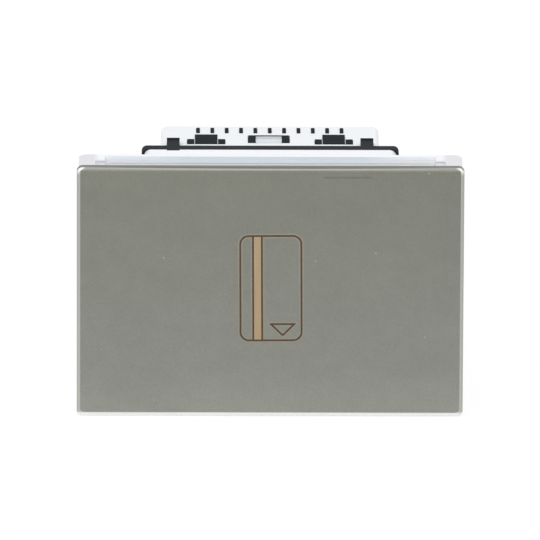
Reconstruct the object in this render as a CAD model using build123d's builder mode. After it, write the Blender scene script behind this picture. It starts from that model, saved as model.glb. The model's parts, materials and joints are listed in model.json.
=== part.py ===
from build123d import *
import os

# Key card switch for a hotel room: a wide card pocket on a 45 mm wall module.
# X runs to the right, Y to the back and Z up, so the front lies at negative Y.
# The origin is the centre of the seat face, the back of the module frame's flange,
# which rests on the support frame of the wall box.

os.makedirs("parts", exist_ok=True)

# Clearances
running_gap = 0.05
snap_gap = 0.1
wall_gap = 0.15
loose_gap = 0.3
cut_overrun = 1.0

# Key card, and the pocket that takes it from above
card_width = 53.98
card_side_play = 1.2
guide_rib_width = 1.66
pocket_side_wall = 2.8
pocket_front_wall = 1.2
pocket_back_wall = 1.7
pocket_floor = 1.8
pocket_corner_radius = 1.7
pocket_edge_radius = 0.6
slot_gap = 4.5
card_groove = 2.0
slot_lead_in = 0.4

# Front cover, a shallow pan over the pocket's front wall
cover_side_overhang = 0.35
cover_end_overhang = 0.3
pocket_end_inset = 0.2
cover_depth = 1.7
cover_skin = 0.9
cover_rim = 0.9
cover_corner_radius = 1.0
cover_edge_radius = 0.65
bead_radius = 0.3
bead_height = 0.15
bead_length = 6.0
bead_rise = 12.0

# Light window in the card pictogram
stripe_x = -2.2
stripe_z = 0.78
stripe_width = 1.5
stripe_height = 18.3
strip_flange = 0.8
strip_flange_depth = 0.9

# Plinth between the pocket and the flange
plinth_depth = 3.7
plinth_side_margin = 0.4
plinth_end_margin = 0.05
plinth_wall = 1.8
plinth_corner_radius = 1.2

# Snap hooks that hold the pocket on the frame
hook_inset = 1.75
hook_z = 8.0
hook_thickness = 1.2
hook_width = 4.0
hook_catch = 0.7
hook_head = 1.2
hook_lead_share = 1 / 3

# Module frame
flange_side_ledge = 3.3
flange_end_ledge = 1.0
flange_thickness = 2.4
flange_corner_radius = 0.9
web_thickness = 1.5
seat_recess = 0.4
skirt_wall = 1.2
frame_arm_inset = 2.1
frame_arm_width = 2.2
frame_arm_length = 4.9
frame_arm_catch = 0.3
frame_arm_ramp = 1.2

# Rear housing
housing_wall = 1.3
housing_corner_radius = 1.0
housing_step_drop = 3.6
housing_edge_radius = 0.5

# Snap windows in the housing, with a tooth of the frame in each
snap_arm_distance = 5.65
snap_start = 4.4
snap_window_width = 3.9
snap_window_length = 6.3
snap_foot_width = 1.35
snap_foot_length = 3.0
tooth_ramp = 0.4
tooth_tip_share = 2 / 3
tooth_rise = 0.1

# Sprung catch in the middle of the housing's top and bottom, with a rib in the frame's skirt
catch_shift = -0.2
catch_width = 4.5
catch_start = 4.6
catch_end = 9.3
catch_sink = 0.25
catch_side_slot = 1.35
catch_slot_start = 5.2
catch_end_slot = 0.6
catch_rib_length = 1.0
catch_rib_height = 0.5
catch_rib_gap = 0.2

# Slots in the housing's top, each filled by a dark rib of the frame's comb
vent_count = 11
vent_pitch = 2.47
vent_width = 0.65
vent_skirt_gap = 0.2
vent_length = 3.2
vent_margin = 1.45
comb_margin = 1.2

# Card lever and its pin
lever_z = 0.5
lever_boss_radius = 1.55
lever_boss_width = 11.6
lever_arm_width = 6.0
lever_arm_front = 1.4
lever_arm_back = 0.1
lever_arm_drop = 15.4
nose_width = 5.0
nose_reach = 7.55
nose_root_drop = 9.0
nose_shoulder_reach = 3.2
nose_shoulder_drop = 9.6
nose_tip_drop = 13.8
nose_tip_height = 1.2
nose_tip_radius = 0.45
pusher_drop = 5.0
pusher_radius = 0.6
pusher_offset = 0.2
pusher_width = 2.4
stop_pad_drop = 7.0
stop_pad_height = 1.6
pin_radius = 0.75
ear_radius = 1.7
ear_width = 1.6
nose_swing = 1.1

# Torsion spring beside the lever's boss
spring_wire_radius = 0.2
spring_radius = 1.2
spring_turns = 3
spring_pitch = 0.6
spring_leg = 4.4
spring_lug_drop = 3.4
spring_lug_height = 1.6
spring_stop_width = 1.0
spring_stop_height = 1.6

# Circuit board
board_thickness = 1.6
board_post_inset = 2.35
board_post_radius = 2.0
board_screw_radius = 1.0
board_screw_head_radius = 1.8
board_screw_head = 1.3
board_screw_length = 5.4
board_slot_width = 0.5
board_slot_depth = 0.6
lead_radius = 0.3
wire_sides = 6
pin_hole_radius = 0.6

# Microswitch on the front of the board
switch_width = 12.8
switch_depth = 6.5
switch_height = 5.8
switch_hole_radius = 1.0
switch_hole_x = 3.25
switch_hole_back = 1.6
plunger_width = 2.9
plunger_height = 1.2
plunger_reach = 0.85
plunger_length = 2.4
plunger_travel = 0.9
plunger_bevel = 0.2
switch_pin_pitch = 5.08
switch_pin_radius = 0.4

# Locator light and its pipe
led_z = 9.5
led_radius = 1.5
led_flange_radius = 1.9
led_flange = 1.0
led_height = 5.2
led_lead_pitch = 2.54
led_dome = 0.7
pipe_radius = 1.4
pipe_head_width = 2.4
pipe_head_height = 10.0
pipe_head_depth = 0.9
pipe_head_corner = 0.6
pipe_led_gap = 0.5

# Relay on the back of the board
relay_edge_gap = 1.25
relay_gap = 1.7
relay_headroom = 3.6
relay_width = 18.2
relay_height = 10.2
relay_depth = 15.3
relay_base = 1.2
relay_base_margin = 0.2
relay_edge_radius = 0.6
relay_pin_radius = 0.5
relay_pin_length = 2.4
relay_pin_inset = 1.3
relay_coil_pin_inset = 6.3

# Film capacitor
film_edge_gap = 0.95
film_gap = 0.8
film_width = 13.0
film_height = 6.0
film_depth = 12.0
film_edge_radius = 0.5

# Electrolytic capacitor
electrolytic_side_gap = 1.8
electrolytic_edge_gap = 2.25
electrolytic_gap = 0.8
electrolytic_radius = 4.0
electrolytic_depth = 11.5
electrolytic_edge = 0.5
electrolytic_groove = 0.25
electrolytic_groove_y = 1.4
electrolytic_groove_width = 0.7

# Varistor
varistor_edge_gap = 2.45
varistor_gap = 1.2
varistor_radius = 4.2
varistor_thickness = 3.6
varistor_bevel = 0.8
varistor_standoff = 1.0
varistor_lead_z = 2.5

# Fusible resistor
fuse_side_gap = 4.2
fuse_gap = 0.7
fuse_radius = 1.6
fuse_length = 6.6
fuse_waist = 0.25
fuse_waist_length = 3.4
fuse_lead_overhang = 1.2
fuse_standoff = 0.5

# Rectifier diodes on the front of the board
diode_radius = 1.35
diode_length = 5.2
diode_lead_overhang = 1.0
diode_standoff = 0.3
diode_edge_gap = 6.15
diode_x_pitch = 3.2
diode_z = 4.4
diode_z_pitch = 8.4

# Control chip and small resistors on the front of the board
chip_edge_gap = 5.55
chip_z = -1.6
chip_width = 3.9
chip_height = 4.9
chip_depth = 1.45
chip_lead_reach = 1.0
chip_lead_width = 0.42
chip_lead_pitch = 1.27
chip_lead_thickness = 0.3
chip_lead_count = 4
resistor_edge_gap = 6.15
resistor_z = 7.4
resistor_width = 1.6
resistor_height = 0.8
resistor_depth = 0.5
resistor_x_pitch = 2.6
resistor_z_pitch = 1.6
resistor_columns = 2
resistor_rows = 4

# Terminals
pole_count = 4
pole_wall = 1.5
block_side_inset = 0.65
block_margin = 0.1
block_standoff = 1.0
block_foot = 2.0
block_front_wall = 4.4
block_top_wall = 2.0
block_sill = 2.8
cage_height = 6.0
cage_floor = 1.0
cage_opening = 4.4
cage_side = 0.9
cage_top = 1.6
cage_travel = 3.0
cage_gap = 0.2
contact_thickness = 0.8
contact_web = 0.4
contact_leg_width = 2.0
contact_pin_radius = 0.5
clamp_shoulder = 0.8
clamp_screw_radius = 1.45
clamp_head_radius = 1.9
clamp_head = 1.4
clamp_slot_width = 0.6
clamp_slot_depth = 0.7
wire_hole_chamfer = 0.35
driver_hole_radius = 2.3

# Widths, from the widest row of parts on the board outwards
board_width = (
    relay_edge_gap
    + relay_width
    + electrolytic_side_gap
    + 2 * electrolytic_radius
    + electrolytic_edge_gap
)
skirt_width = board_width + 2 * loose_gap + 2 * skirt_wall
housing_width = skirt_width + 2 * wall_gap + 2 * housing_wall
flange_width = housing_width + 2 * flange_side_ledge
plinth_width = flange_width - 2 * plinth_side_margin
block_width = board_width - 2 * block_side_inset
pole_pitch = (block_width - 2 * block_margin) / pole_count
cage_width = pole_pitch - pole_wall - 2 * cage_gap
wire_hole_width = cage_width - 2 * cage_side
contact_width = wire_hole_width - 2 * cage_gap

# Widths, from the card outwards
card_path_width = card_width + 2 * card_side_play
slot_width = card_path_width + 2 * guide_rib_width
pocket_width = slot_width + 2 * pocket_side_wall
cover_width = pocket_width + 2 * cover_side_overhang
pan_width = cover_width - 2 * cover_rim

# Heights, from the stack of parts in the housing outwards
block_height = (
    block_sill + cage_height + contact_web + contact_thickness + block_top_wall + 4 * cage_gap
)
stack_height = block_height + film_gap + film_height + relay_gap + relay_height + relay_headroom
housing_height = loose_gap + stack_height + housing_step_drop + 2 * housing_wall
flange_height = housing_height + 2 * flange_end_ledge
plinth_height = flange_height - 2 * plinth_end_margin
cover_height = flange_height + 2 * cover_end_overhang
pocket_height = cover_height - 2 * pocket_end_inset
pan_height = cover_height - 2 * cover_rim
skirt_height = housing_height - 2 * housing_wall - 2 * wall_gap
board_height = skirt_height - 2 * skirt_wall - 2 * loose_gap

# Heights above the centre
housing_top_z = housing_height / 2
housing_rear_top_z = housing_top_z - housing_step_drop
housing_rear_height = housing_height - housing_step_drop
skirt_top_z = skirt_height / 2
pocket_floor_z = -pocket_height / 2 + pocket_floor
switch_z = lever_z - pusher_drop
block_bottom_z = -housing_top_z + housing_wall + loose_gap
block_step_z = -skirt_top_z + skirt_wall + loose_gap
cage_z = block_bottom_z + block_sill + cage_gap + cage_height / 2
contact_leg_z = cage_z + cage_height / 2 + contact_web + contact_thickness / 2 + 2 * cage_gap
block_top_z = contact_leg_z + contact_thickness / 2 + cage_gap + block_top_wall
film_z = block_top_z + film_gap + film_height / 2
relay_z = film_z + film_height / 2 + relay_gap + relay_height / 2
varistor_z = block_top_z + varistor_gap + varistor_radius
electrolytic_z = varistor_z + varistor_radius + electrolytic_gap + electrolytic_radius
fuse_z = block_top_z + fuse_gap + fuse_lead_overhang + fuse_length / 2

# Places to the side of the centre
relay_x = relay_edge_gap + (relay_width - board_width) / 2
electrolytic_x = board_width / 2 - electrolytic_edge_gap - electrolytic_radius
film_x = film_edge_gap + (film_width - board_width) / 2
varistor_x = (board_width - varistor_thickness) / 2 - varistor_edge_gap
fuse_x = film_x + film_width / 2 + fuse_side_gap + fuse_radius
diode_x = board_width / 2 - diode_edge_gap
chip_x = chip_edge_gap - board_width / 2
resistor_x = resistor_edge_gap - board_width / 2
board_post_x = board_width / 2 - board_post_inset
board_post_z = board_height / 2 - board_post_inset
hook_x = board_width / 2 - hook_inset
frame_arm_x = housing_width / 2 - frame_arm_inset
snap_x = frame_arm_x - snap_arm_distance
spring_space = spring_turns * spring_pitch + 2 * spring_wire_radius + 2 * snap_gap
left_ear_x = -lever_boss_width / 2 - wall_gap - ear_width
right_ear_x = lever_boss_width / 2 + wall_gap + spring_space
coil_start_x = lever_boss_width / 2 + wall_gap + snap_gap + spring_wire_radius
coil_end_x = coil_start_x + spring_turns * spring_pitch
pole_places = [(index - (pole_count - 1) / 2) * pole_pitch for index in range(pole_count)]

# Levels from the seat face to the front
flange_front_y = -flange_thickness
web_back_y = flange_front_y + web_thickness
plinth_front_y = flange_front_y - plinth_depth
slot_back_y = plinth_front_y - pocket_back_wall
slot_front_y = slot_back_y - slot_gap
groove_back_y = slot_front_y + card_groove
pocket_front_y = slot_front_y - pocket_front_wall
cover_front_y = pocket_front_y - cover_depth
cover_skin_y = cover_front_y + cover_skin
pad_front_y = cover_skin_y + snap_gap
lever_y = (plinth_front_y + flange_front_y) / 2
spring_rest_y = lever_y + spring_radius - spring_wire_radius - running_gap

# Snap windows and slots of the sprung catches, in the housing's top and bottom
window_y = snap_start + snap_window_length / 2
foot_y = snap_start + snap_foot_length / 2
catch_slot_y = (catch_slot_start + catch_end + catch_end_slot) / 2
catch_slot_length = catch_end + catch_end_slot - catch_slot_start
catch_slot_x = (catch_width + catch_side_slot) / 2
catch_slot_places = [(catch_shift + side * catch_slot_x, catch_slot_y) for side in (-1, 1)]

# Levels from the lever to the back
plunger_front_y = lever_y + pusher_offset + pusher_radius + snap_gap
switch_front_y = plunger_front_y + plunger_reach
board_y = switch_front_y + switch_depth
board_back_y = board_y + board_thickness
block_front_y = board_back_y + block_standoff
cage_y = block_front_y + block_front_wall + cage_gap
cage_back_y = cage_y + cage_floor + cage_opening + cage_top
contact_back_y = cage_y + cage_floor + cage_opening - cage_gap
contact_front_y = contact_back_y - contact_thickness
wire_y = (cage_y + cage_floor + contact_front_y) / 2
wire_hole_depth = contact_front_y - cage_y - cage_floor
shoulder_y = cage_back_y + cage_travel + cage_gap
clamp_head_y = shoulder_y + clamp_shoulder
block_back_y = clamp_head_y + clamp_head + cage_gap
housing_inner_back_y = block_back_y + cage_gap
housing_back_y = housing_inner_back_y + housing_wall
skirt_depth = cage_y
block_step_y = skirt_depth + cage_gap
vent_start = skirt_depth + vent_skirt_gap
housing_step_y = vent_start + vent_length + vent_margin

# Seats of the cover on its pocket
pan_corner_radius = max(cover_corner_radius - cover_rim, snap_gap)
bead_x = pan_width / 2 + bead_radius - bead_height
bead_y = (pocket_front_y + cover_skin_y) / 2


def front_plane(y):
    """A plane parallel to the cover at depth y, with its normal to the front."""
    return Plane.XZ.offset(-y)


def level_plane(z):
    """A level plane at height z, with its normal up."""
    return Plane.XY.offset(z)


def corners(x, z):
    """The four places that lie x to each side and z above and below the centre."""
    return [(side * x, row * z) for side in (-1, 1) for row in (-1, 1)]


# Front cover: a pan with a rounded front edge, which snaps over the pocket's front pad
with BuildPart() as front_cover:
    with BuildSketch(front_plane(pocket_front_y)):
        RectangleRounded(cover_width, cover_height, cover_corner_radius)
    extrude(amount=cover_depth)
    fillet(front_cover.faces().sort_by(Axis.Y)[0].edges(), radius=cover_edge_radius)
    with BuildSketch(front_plane(pocket_front_y)):
        RectangleRounded(pan_width, pan_height, pan_corner_radius)
    extrude(amount=cover_depth - cover_skin, mode=Mode.SUBTRACT)
    with Locations(*[(x, bead_y, z) for x, z in corners(bead_x, bead_rise)]):
        Cylinder(bead_radius, bead_length)
    with BuildSketch(front_plane(cover_skin_y)):
        with Locations((stripe_x, stripe_z)):
            Rectangle(stripe_width + 2 * running_gap, stripe_height + 2 * running_gap)
    extrude(amount=cover_skin, mode=Mode.SUBTRACT)
front_cover.part.label = "front_cover"
export_step(front_cover.part, "parts/front_cover.step")

# Light window: a slim amber bar, flush with the cover, on a flange that the cover traps
with BuildPart() as icon_light_strip:
    with BuildSketch(front_plane(slot_front_y - snap_gap)):
        with Locations((stripe_x, stripe_z)):
            Rectangle(stripe_width, stripe_height)
    extrude(amount=slot_front_y - snap_gap - cover_front_y)
    with BuildSketch(front_plane(cover_skin_y + strip_flange_depth)):
        with Locations((stripe_x, stripe_z)):
            Rectangle(stripe_width + 2 * strip_flange, stripe_height + 2 * strip_flange)
    extrude(amount=strip_flange_depth)
icon_light_strip.part.label = "icon_light_strip"
export_step(icon_light_strip.part, "parts/icon_light_strip.step")

# Card pocket: the slot, its guide ribs, the plinth, the lever's ears and the snap hooks
with BuildPart() as card_pocket:
    with BuildSketch(level_plane(-pocket_height / 2)) as pocket_outline:
        with Locations((0, (pocket_front_y + plinth_front_y) / 2)):
            Rectangle(pocket_width, plinth_front_y - pocket_front_y)
        fillet(pocket_outline.vertices().group_by(Axis.Y)[-1], radius=pocket_corner_radius)
    extrude(amount=pocket_height)
    fillet(card_pocket.faces().sort_by(Axis.Z)[0].edges(), radius=pocket_edge_radius)
    # Front pad that fills the cover
    with BuildSketch(front_plane(pocket_front_y)):
        RectangleRounded(pan_width - 2 * snap_gap, pan_height - 2 * snap_gap, pan_corner_radius)
    extrude(amount=pocket_front_y - pad_front_y)
    with Locations(*[(x, bead_y, z) for x, z in corners(bead_x, bead_rise)]):
        Cylinder(bead_radius + running_gap, bead_length + 2 * snap_gap, mode=Mode.SUBTRACT)
    # Slot for the card: a wide groove in front, and a narrower gap between the guide ribs
    with BuildSketch(level_plane(pocket_floor_z)):
        with Locations((0, (slot_front_y + groove_back_y) / 2)):
            Rectangle(slot_width, card_groove)
        with Locations((0, (slot_front_y + slot_back_y) / 2)):
            Rectangle(card_path_width, slot_gap)
    extrude(amount=pocket_height, mode=Mode.SUBTRACT)
    slot_mouth = card_pocket.faces().sort_by(Axis.Z)[-1].inner_wires()
    slot_edges = slot_mouth[0].edges().filter_by(Axis.X)
    chamfer(slot_edges.filter_by(lambda edge: edge.length > card_width), slot_lead_in)
    # Window for the light strip, stepped so that its flange stops there
    with BuildSketch(front_plane(slot_front_y)):
        with Locations((stripe_x, stripe_z)):
            Rectangle(stripe_width + 2 * running_gap, stripe_height + 2 * running_gap)
    extrude(amount=slot_front_y - pad_front_y, mode=Mode.SUBTRACT)
    with BuildSketch(front_plane(cover_skin_y + strip_flange_depth + running_gap)):
        with Locations((stripe_x, stripe_z)):
            Rectangle(
                stripe_width + 2 * strip_flange + 2 * running_gap,
                stripe_height + 2 * strip_flange + 2 * running_gap,
            )
    extrude(amount=strip_flange_depth + running_gap, mode=Mode.SUBTRACT)
    # Plinth
    with BuildSketch(front_plane(flange_front_y)):
        RectangleRounded(plinth_width, plinth_height, plinth_corner_radius)
        RectangleRounded(
            plinth_width - 2 * plinth_wall,
            plinth_height - 2 * plinth_wall,
            plinth_corner_radius - plinth_wall / 2,
            mode=Mode.SUBTRACT,
        )
    extrude(amount=plinth_depth)
    # Window for the lever's nose
    nose_window_top_z = lever_z - nose_root_drop + nose_swing
    nose_window_bottom_z = lever_z - lever_arm_drop - nose_swing
    with BuildSketch(front_plane(plinth_front_y)):
        with Locations((0, (nose_window_top_z + nose_window_bottom_z) / 2)):
            Rectangle(nose_width + 2 * loose_gap, nose_window_top_z - nose_window_bottom_z)
    extrude(amount=pocket_back_wall, mode=Mode.SUBTRACT)
    # Stepped hole for the light pipe
    with BuildSketch(front_plane(slot_back_y + pipe_head_depth)):
        with Locations((stripe_x, led_z)):
            Rectangle(pipe_head_width + 2 * running_gap, pipe_head_height + 2 * running_gap)
    extrude(amount=pipe_head_depth, mode=Mode.SUBTRACT)
    with BuildSketch(front_plane(plinth_front_y)):
        with Locations((stripe_x, led_z)):
            Circle(pipe_radius + running_gap)
    extrude(amount=pocket_back_wall, mode=Mode.SUBTRACT)
    # Ears that carry the lever's pin
    for ear_x in (left_ear_x, right_ear_x):
        with BuildSketch(Plane.YZ.offset(ear_x)):
            with Locations((lever_y, lever_z)):
                Circle(ear_radius)
            with Locations(((plinth_front_y + lever_y) / 2, lever_z)):
                Rectangle(lever_y - plinth_front_y, 2 * ear_radius)
            with Locations((lever_y, lever_z)):
                Circle(pin_radius + running_gap / 2, mode=Mode.SUBTRACT)
        extrude(amount=ear_width)
    # Stop for the spring's upper leg, beside the right ear
    stop_start_x = coil_end_x - spring_stop_width / 2
    stop_end_x = right_ear_x + ear_width
    with Locations(
        (
            (stop_start_x + stop_end_x) / 2,
            (plinth_front_y + spring_rest_y) / 2,
            lever_z + spring_leg - spring_stop_height / 2,
        )
    ):
        Box(stop_end_x - stop_start_x, spring_rest_y - plinth_front_y, spring_stop_height)
    # Hooks: an arm with a catch that snaps behind the frame's web
    for side in (-1, 1):
        for row in (-1, 1):
            inner_x = side * (hook_x - hook_thickness / 2)
            outer_x = side * (hook_x + hook_thickness / 2)
            catch_x = outer_x + side * hook_catch
            with BuildSketch(level_plane(row * hook_z - hook_width / 2)):
                with BuildLine():
                    Polyline(
                        (inner_x, plinth_front_y),
                        (inner_x, web_back_y + snap_gap + hook_head),
                        (outer_x, web_back_y + snap_gap + hook_head),
                        (catch_x, web_back_y + snap_gap + hook_head * hook_lead_share),
                        (catch_x, web_back_y + snap_gap),
                        (outer_x, web_back_y + snap_gap),
                        (outer_x, plinth_front_y),
                        close=True,
                    )
                make_face()
            extrude(amount=hook_width)
card_pocket.part.label = "card_pocket"
export_step(card_pocket.part, "parts/card_pocket.step")

# Module frame: flange, web, skirt inside the housing, snap teeth and side arms
with BuildPart() as module_frame:
    with BuildSketch(front_plane(0)):
        RectangleRounded(flange_width, flange_height, flange_corner_radius)
    extrude(amount=flange_thickness)
    with BuildSketch(front_plane(0)):
        RectangleRounded(
            housing_width + 2 * wall_gap,
            housing_height + 2 * wall_gap,
            housing_corner_radius + wall_gap,
        )
    extrude(amount=seat_recess, mode=Mode.SUBTRACT)
    with BuildSketch(front_plane(skirt_depth)):
        RectangleRounded(skirt_width, skirt_height, housing_corner_radius)
    extrude(amount=skirt_depth + seat_recess)
    with BuildSketch(front_plane(skirt_depth)):
        RectangleRounded(
            skirt_width - 2 * skirt_wall, skirt_height - 2 * skirt_wall, housing_corner_radius
        )
    extrude(amount=skirt_depth - web_back_y, mode=Mode.SUBTRACT)
    # Window for the switch and the swinging lever
    switch_window_top_z = switch_z + switch_height / 2 + loose_gap
    with BuildSketch(front_plane(web_back_y)):
        with Locations((0, (switch_window_top_z + nose_window_bottom_z) / 2)):
            Rectangle(
                switch_width + 2 * loose_gap, switch_window_top_z - nose_window_bottom_z
            )
        with Locations((stripe_x, led_z)):
            Circle(pipe_radius + wall_gap)
        for side in (-1, 1):
            with Locations(*[(side * (hook_x + hook_catch / 2), row * hook_z) for row in (-1, 1)]):
                Rectangle(
                    hook_thickness + hook_catch + 2 * wall_gap, hook_width + 2 * wall_gap
                )
    extrude(amount=web_thickness, mode=Mode.SUBTRACT)
    # Posts for the board: two take a screw, two end in a locating peg
    with BuildSketch(front_plane(board_y)):
        with Locations(*corners(board_post_x, board_post_z)):
            Circle(board_post_radius)
        with Locations((-board_post_x, board_post_z), (board_post_x, board_post_z)):
            Circle(board_screw_radius + running_gap, mode=Mode.SUBTRACT)
    extrude(amount=board_y - web_back_y)
    with BuildSketch(front_plane(board_back_y - snap_gap)):
        with Locations((-board_post_x, -board_post_z), (board_post_x, -board_post_z)):
            Circle(board_screw_radius)
    extrude(amount=board_thickness - snap_gap)
    # Windows in the skirt for the ribs of the housing's catches
    rib_end_y = catch_end - catch_rib_gap
    with BuildSketch(level_plane(-skirt_height / 2)):
        with Locations((catch_shift, rib_end_y - catch_rib_length / 2)):
            Rectangle(catch_width + 2 * catch_rib_gap, catch_rib_length + 2 * catch_rib_gap)
    extrude(amount=skirt_height, mode=Mode.SUBTRACT)
    # Comb whose ribs fill the slots in the housing's top
    tooth_top_z = housing_top_z + tooth_rise
    rib_root_z = skirt_top_z - skirt_wall / 2
    comb_width = (vent_count - 1) * vent_pitch + vent_width + 2 * comb_margin
    comb_end_y = vent_start + vent_length + snap_gap
    with BuildSketch(level_plane(skirt_top_z)):
        with Locations((0, (skirt_depth - skirt_wall + comb_end_y) / 2)):
            Rectangle(comb_width, comb_end_y - skirt_depth + skirt_wall)
    extrude(amount=-skirt_wall)
    with BuildSketch(level_plane(rib_root_z)):
        with Locations((0, vent_start + vent_length / 2)):
            with GridLocations(vent_pitch, vent_length, vent_count, 1):
                Rectangle(vent_width - 2 * running_gap, vent_length - 2 * running_gap)
    extrude(amount=tooth_top_z - rib_root_z)
    # Pads that fill the feet of the snap windows and the slots around the catches
    for row in (-1, 1):
        with BuildSketch(level_plane(row * rib_root_z)):
            with Locations((-snap_x, foot_y), (snap_x, foot_y)):
                Rectangle(
                    snap_window_width + 2 * snap_foot_width - 2 * running_gap,
                    snap_foot_length - 2 * running_gap,
                )
            with Locations(*catch_slot_places):
                Rectangle(catch_side_slot - 2 * snap_gap, catch_slot_length - 2 * snap_gap)
            with Locations((catch_shift, catch_end + catch_end_slot / 2)):
                Rectangle(
                    catch_width + 2 * catch_side_slot - 2 * snap_gap,
                    catch_end_slot - 2 * snap_gap,
                )
        extrude(amount=row * (tooth_top_z - rib_root_z))
    # Snap teeth, each with a ramp at the back, and the catches on the side arms
    tooth_start_y = snap_start + running_gap
    tooth_end_y = snap_start + snap_window_length - running_gap
    arm_bottom_z = housing_top_z + wall_gap
    arm_top_z = flange_height / 2
    for side in (-1, 1):
        with BuildSketch(Plane.YZ.offset(side * snap_x)):
            with BuildLine():
                Polyline(
                    (tooth_start_y, rib_root_z),
                    (tooth_start_y, tooth_top_z),
                    (tooth_end_y - tooth_ramp, tooth_top_z),
                    (tooth_end_y, skirt_top_z + (tooth_top_z - skirt_top_z) * tooth_tip_share),
                    (tooth_end_y, rib_root_z),
                    close=True,
                )
            make_face()
            mirror(about=Plane.XZ)
        extrude(amount=snap_window_width / 2 - running_gap, both=True)
        with BuildSketch(Plane.YZ.offset(side * frame_arm_x)):
            with BuildLine():
                Polyline(
                    (flange_front_y / 2, arm_bottom_z),
                    (flange_front_y / 2, arm_top_z),
                    (frame_arm_length - frame_arm_ramp, arm_top_z),
                    (frame_arm_length - frame_arm_ramp, arm_top_z + frame_arm_catch),
                    (frame_arm_length, arm_top_z),
                    (frame_arm_length, arm_bottom_z),
                    close=True,
                )
            make_face()
            mirror(about=Plane.XZ)
        extrude(amount=frame_arm_width / 2, both=True)
module_frame.part.label = "module_frame"
export_step(module_frame.part, "parts/module_frame.step")

# Rear housing: a thin-walled box that snaps over the skirt, lower at its back
with BuildPart() as rear_housing:
    with BuildSketch(front_plane(housing_step_y)):
        RectangleRounded(housing_width, housing_height, housing_corner_radius)
    extrude(amount=housing_step_y + seat_recess)
    fillet(rear_housing.faces().sort_by(Axis.Y)[-1].edges(), radius=housing_edge_radius)
    rear_z = -housing_step_drop / 2
    with BuildSketch(front_plane(housing_back_y)):
        with Locations((0, rear_z)):
            RectangleRounded(housing_width, housing_rear_height, housing_corner_radius)
    extrude(amount=housing_back_y)
    fillet(rear_housing.faces().sort_by(Axis.Y)[-1].edges(), radius=housing_edge_radius)
    inner_width = housing_width - 2 * housing_wall
    inner_corner_radius = housing_corner_radius / 2
    with BuildSketch(front_plane(housing_step_y - housing_wall)):
        RectangleRounded(inner_width, housing_height - 2 * housing_wall, inner_corner_radius)
    extrude(amount=housing_step_y - housing_wall + seat_recess, mode=Mode.SUBTRACT)
    with BuildSketch(front_plane(housing_inner_back_y)):
        with Locations((0, rear_z)):
            RectangleRounded(
                inner_width, housing_rear_height - 2 * housing_wall, inner_corner_radius
            )
    extrude(amount=housing_inner_back_y, mode=Mode.SUBTRACT)
    # Snap windows, cut through the top and the bottom
    with BuildSketch(level_plane(-housing_top_z)):
        with Locations((-snap_x, window_y), (snap_x, window_y)):
            Rectangle(snap_window_width, snap_window_length)
        with Locations((-snap_x, foot_y), (snap_x, foot_y)):
            Rectangle(snap_window_width + 2 * snap_foot_width, snap_foot_length)
        # Slots that free the sprung catch
        with Locations(*catch_slot_places):
            Rectangle(catch_side_slot, catch_slot_length)
        with Locations((catch_shift, catch_end + catch_end_slot / 2)):
            Rectangle(catch_width + 2 * catch_side_slot, catch_end_slot)
    extrude(amount=housing_height, mode=Mode.SUBTRACT)
    # The catches are thinned so that they bend, and each has a rib on its inner face
    catch_inner_z = housing_top_z - housing_wall
    with BuildSketch(Plane.YZ.offset(catch_shift)):
        with Locations(
            ((catch_start + catch_end) / 2, housing_top_z),
            ((catch_start + catch_end) / 2, -housing_top_z),
        ):
            Rectangle(catch_end - catch_start, 2 * catch_sink)
    extrude(amount=catch_width / 2, both=True, mode=Mode.SUBTRACT)
    with BuildSketch(Plane.YZ.offset(catch_shift)):
        with BuildLine():
            Polyline(
                (catch_end - catch_rib_gap - catch_rib_length, catch_inner_z),
                (catch_end - catch_rib_gap - catch_rib_length, catch_inner_z - catch_rib_height),
                (catch_end - catch_rib_gap, catch_inner_z),
                close=True,
            )
        make_face()
        mirror(about=Plane.XZ)
    extrude(amount=catch_width / 2, both=True)
    # Slots for the frame's comb
    with BuildSketch(level_plane(housing_top_z - housing_wall)):
        with Locations((0, vent_start + vent_length / 2)):
            with GridLocations(vent_pitch, vent_length, vent_count, 1):
                Rectangle(vent_width, vent_length)
    extrude(amount=housing_wall, mode=Mode.SUBTRACT)
    # Wire entries from below and driver holes in the back
    with BuildSketch(level_plane(-housing_top_z)):
        with Locations(*[(x, wire_y) for x in pole_places]):
            Rectangle(wire_hole_width, wire_hole_depth)
    extrude(amount=housing_wall, mode=Mode.SUBTRACT)
    with BuildSketch(front_plane(housing_back_y)):
        with Locations(*[(x, cage_z) for x in pole_places]):
            Circle(driver_hole_radius)
    extrude(amount=housing_wall, mode=Mode.SUBTRACT)
rear_housing.part.label = "rear_housing"
export_step(rear_housing.part, "parts/rear_housing.step")

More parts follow.
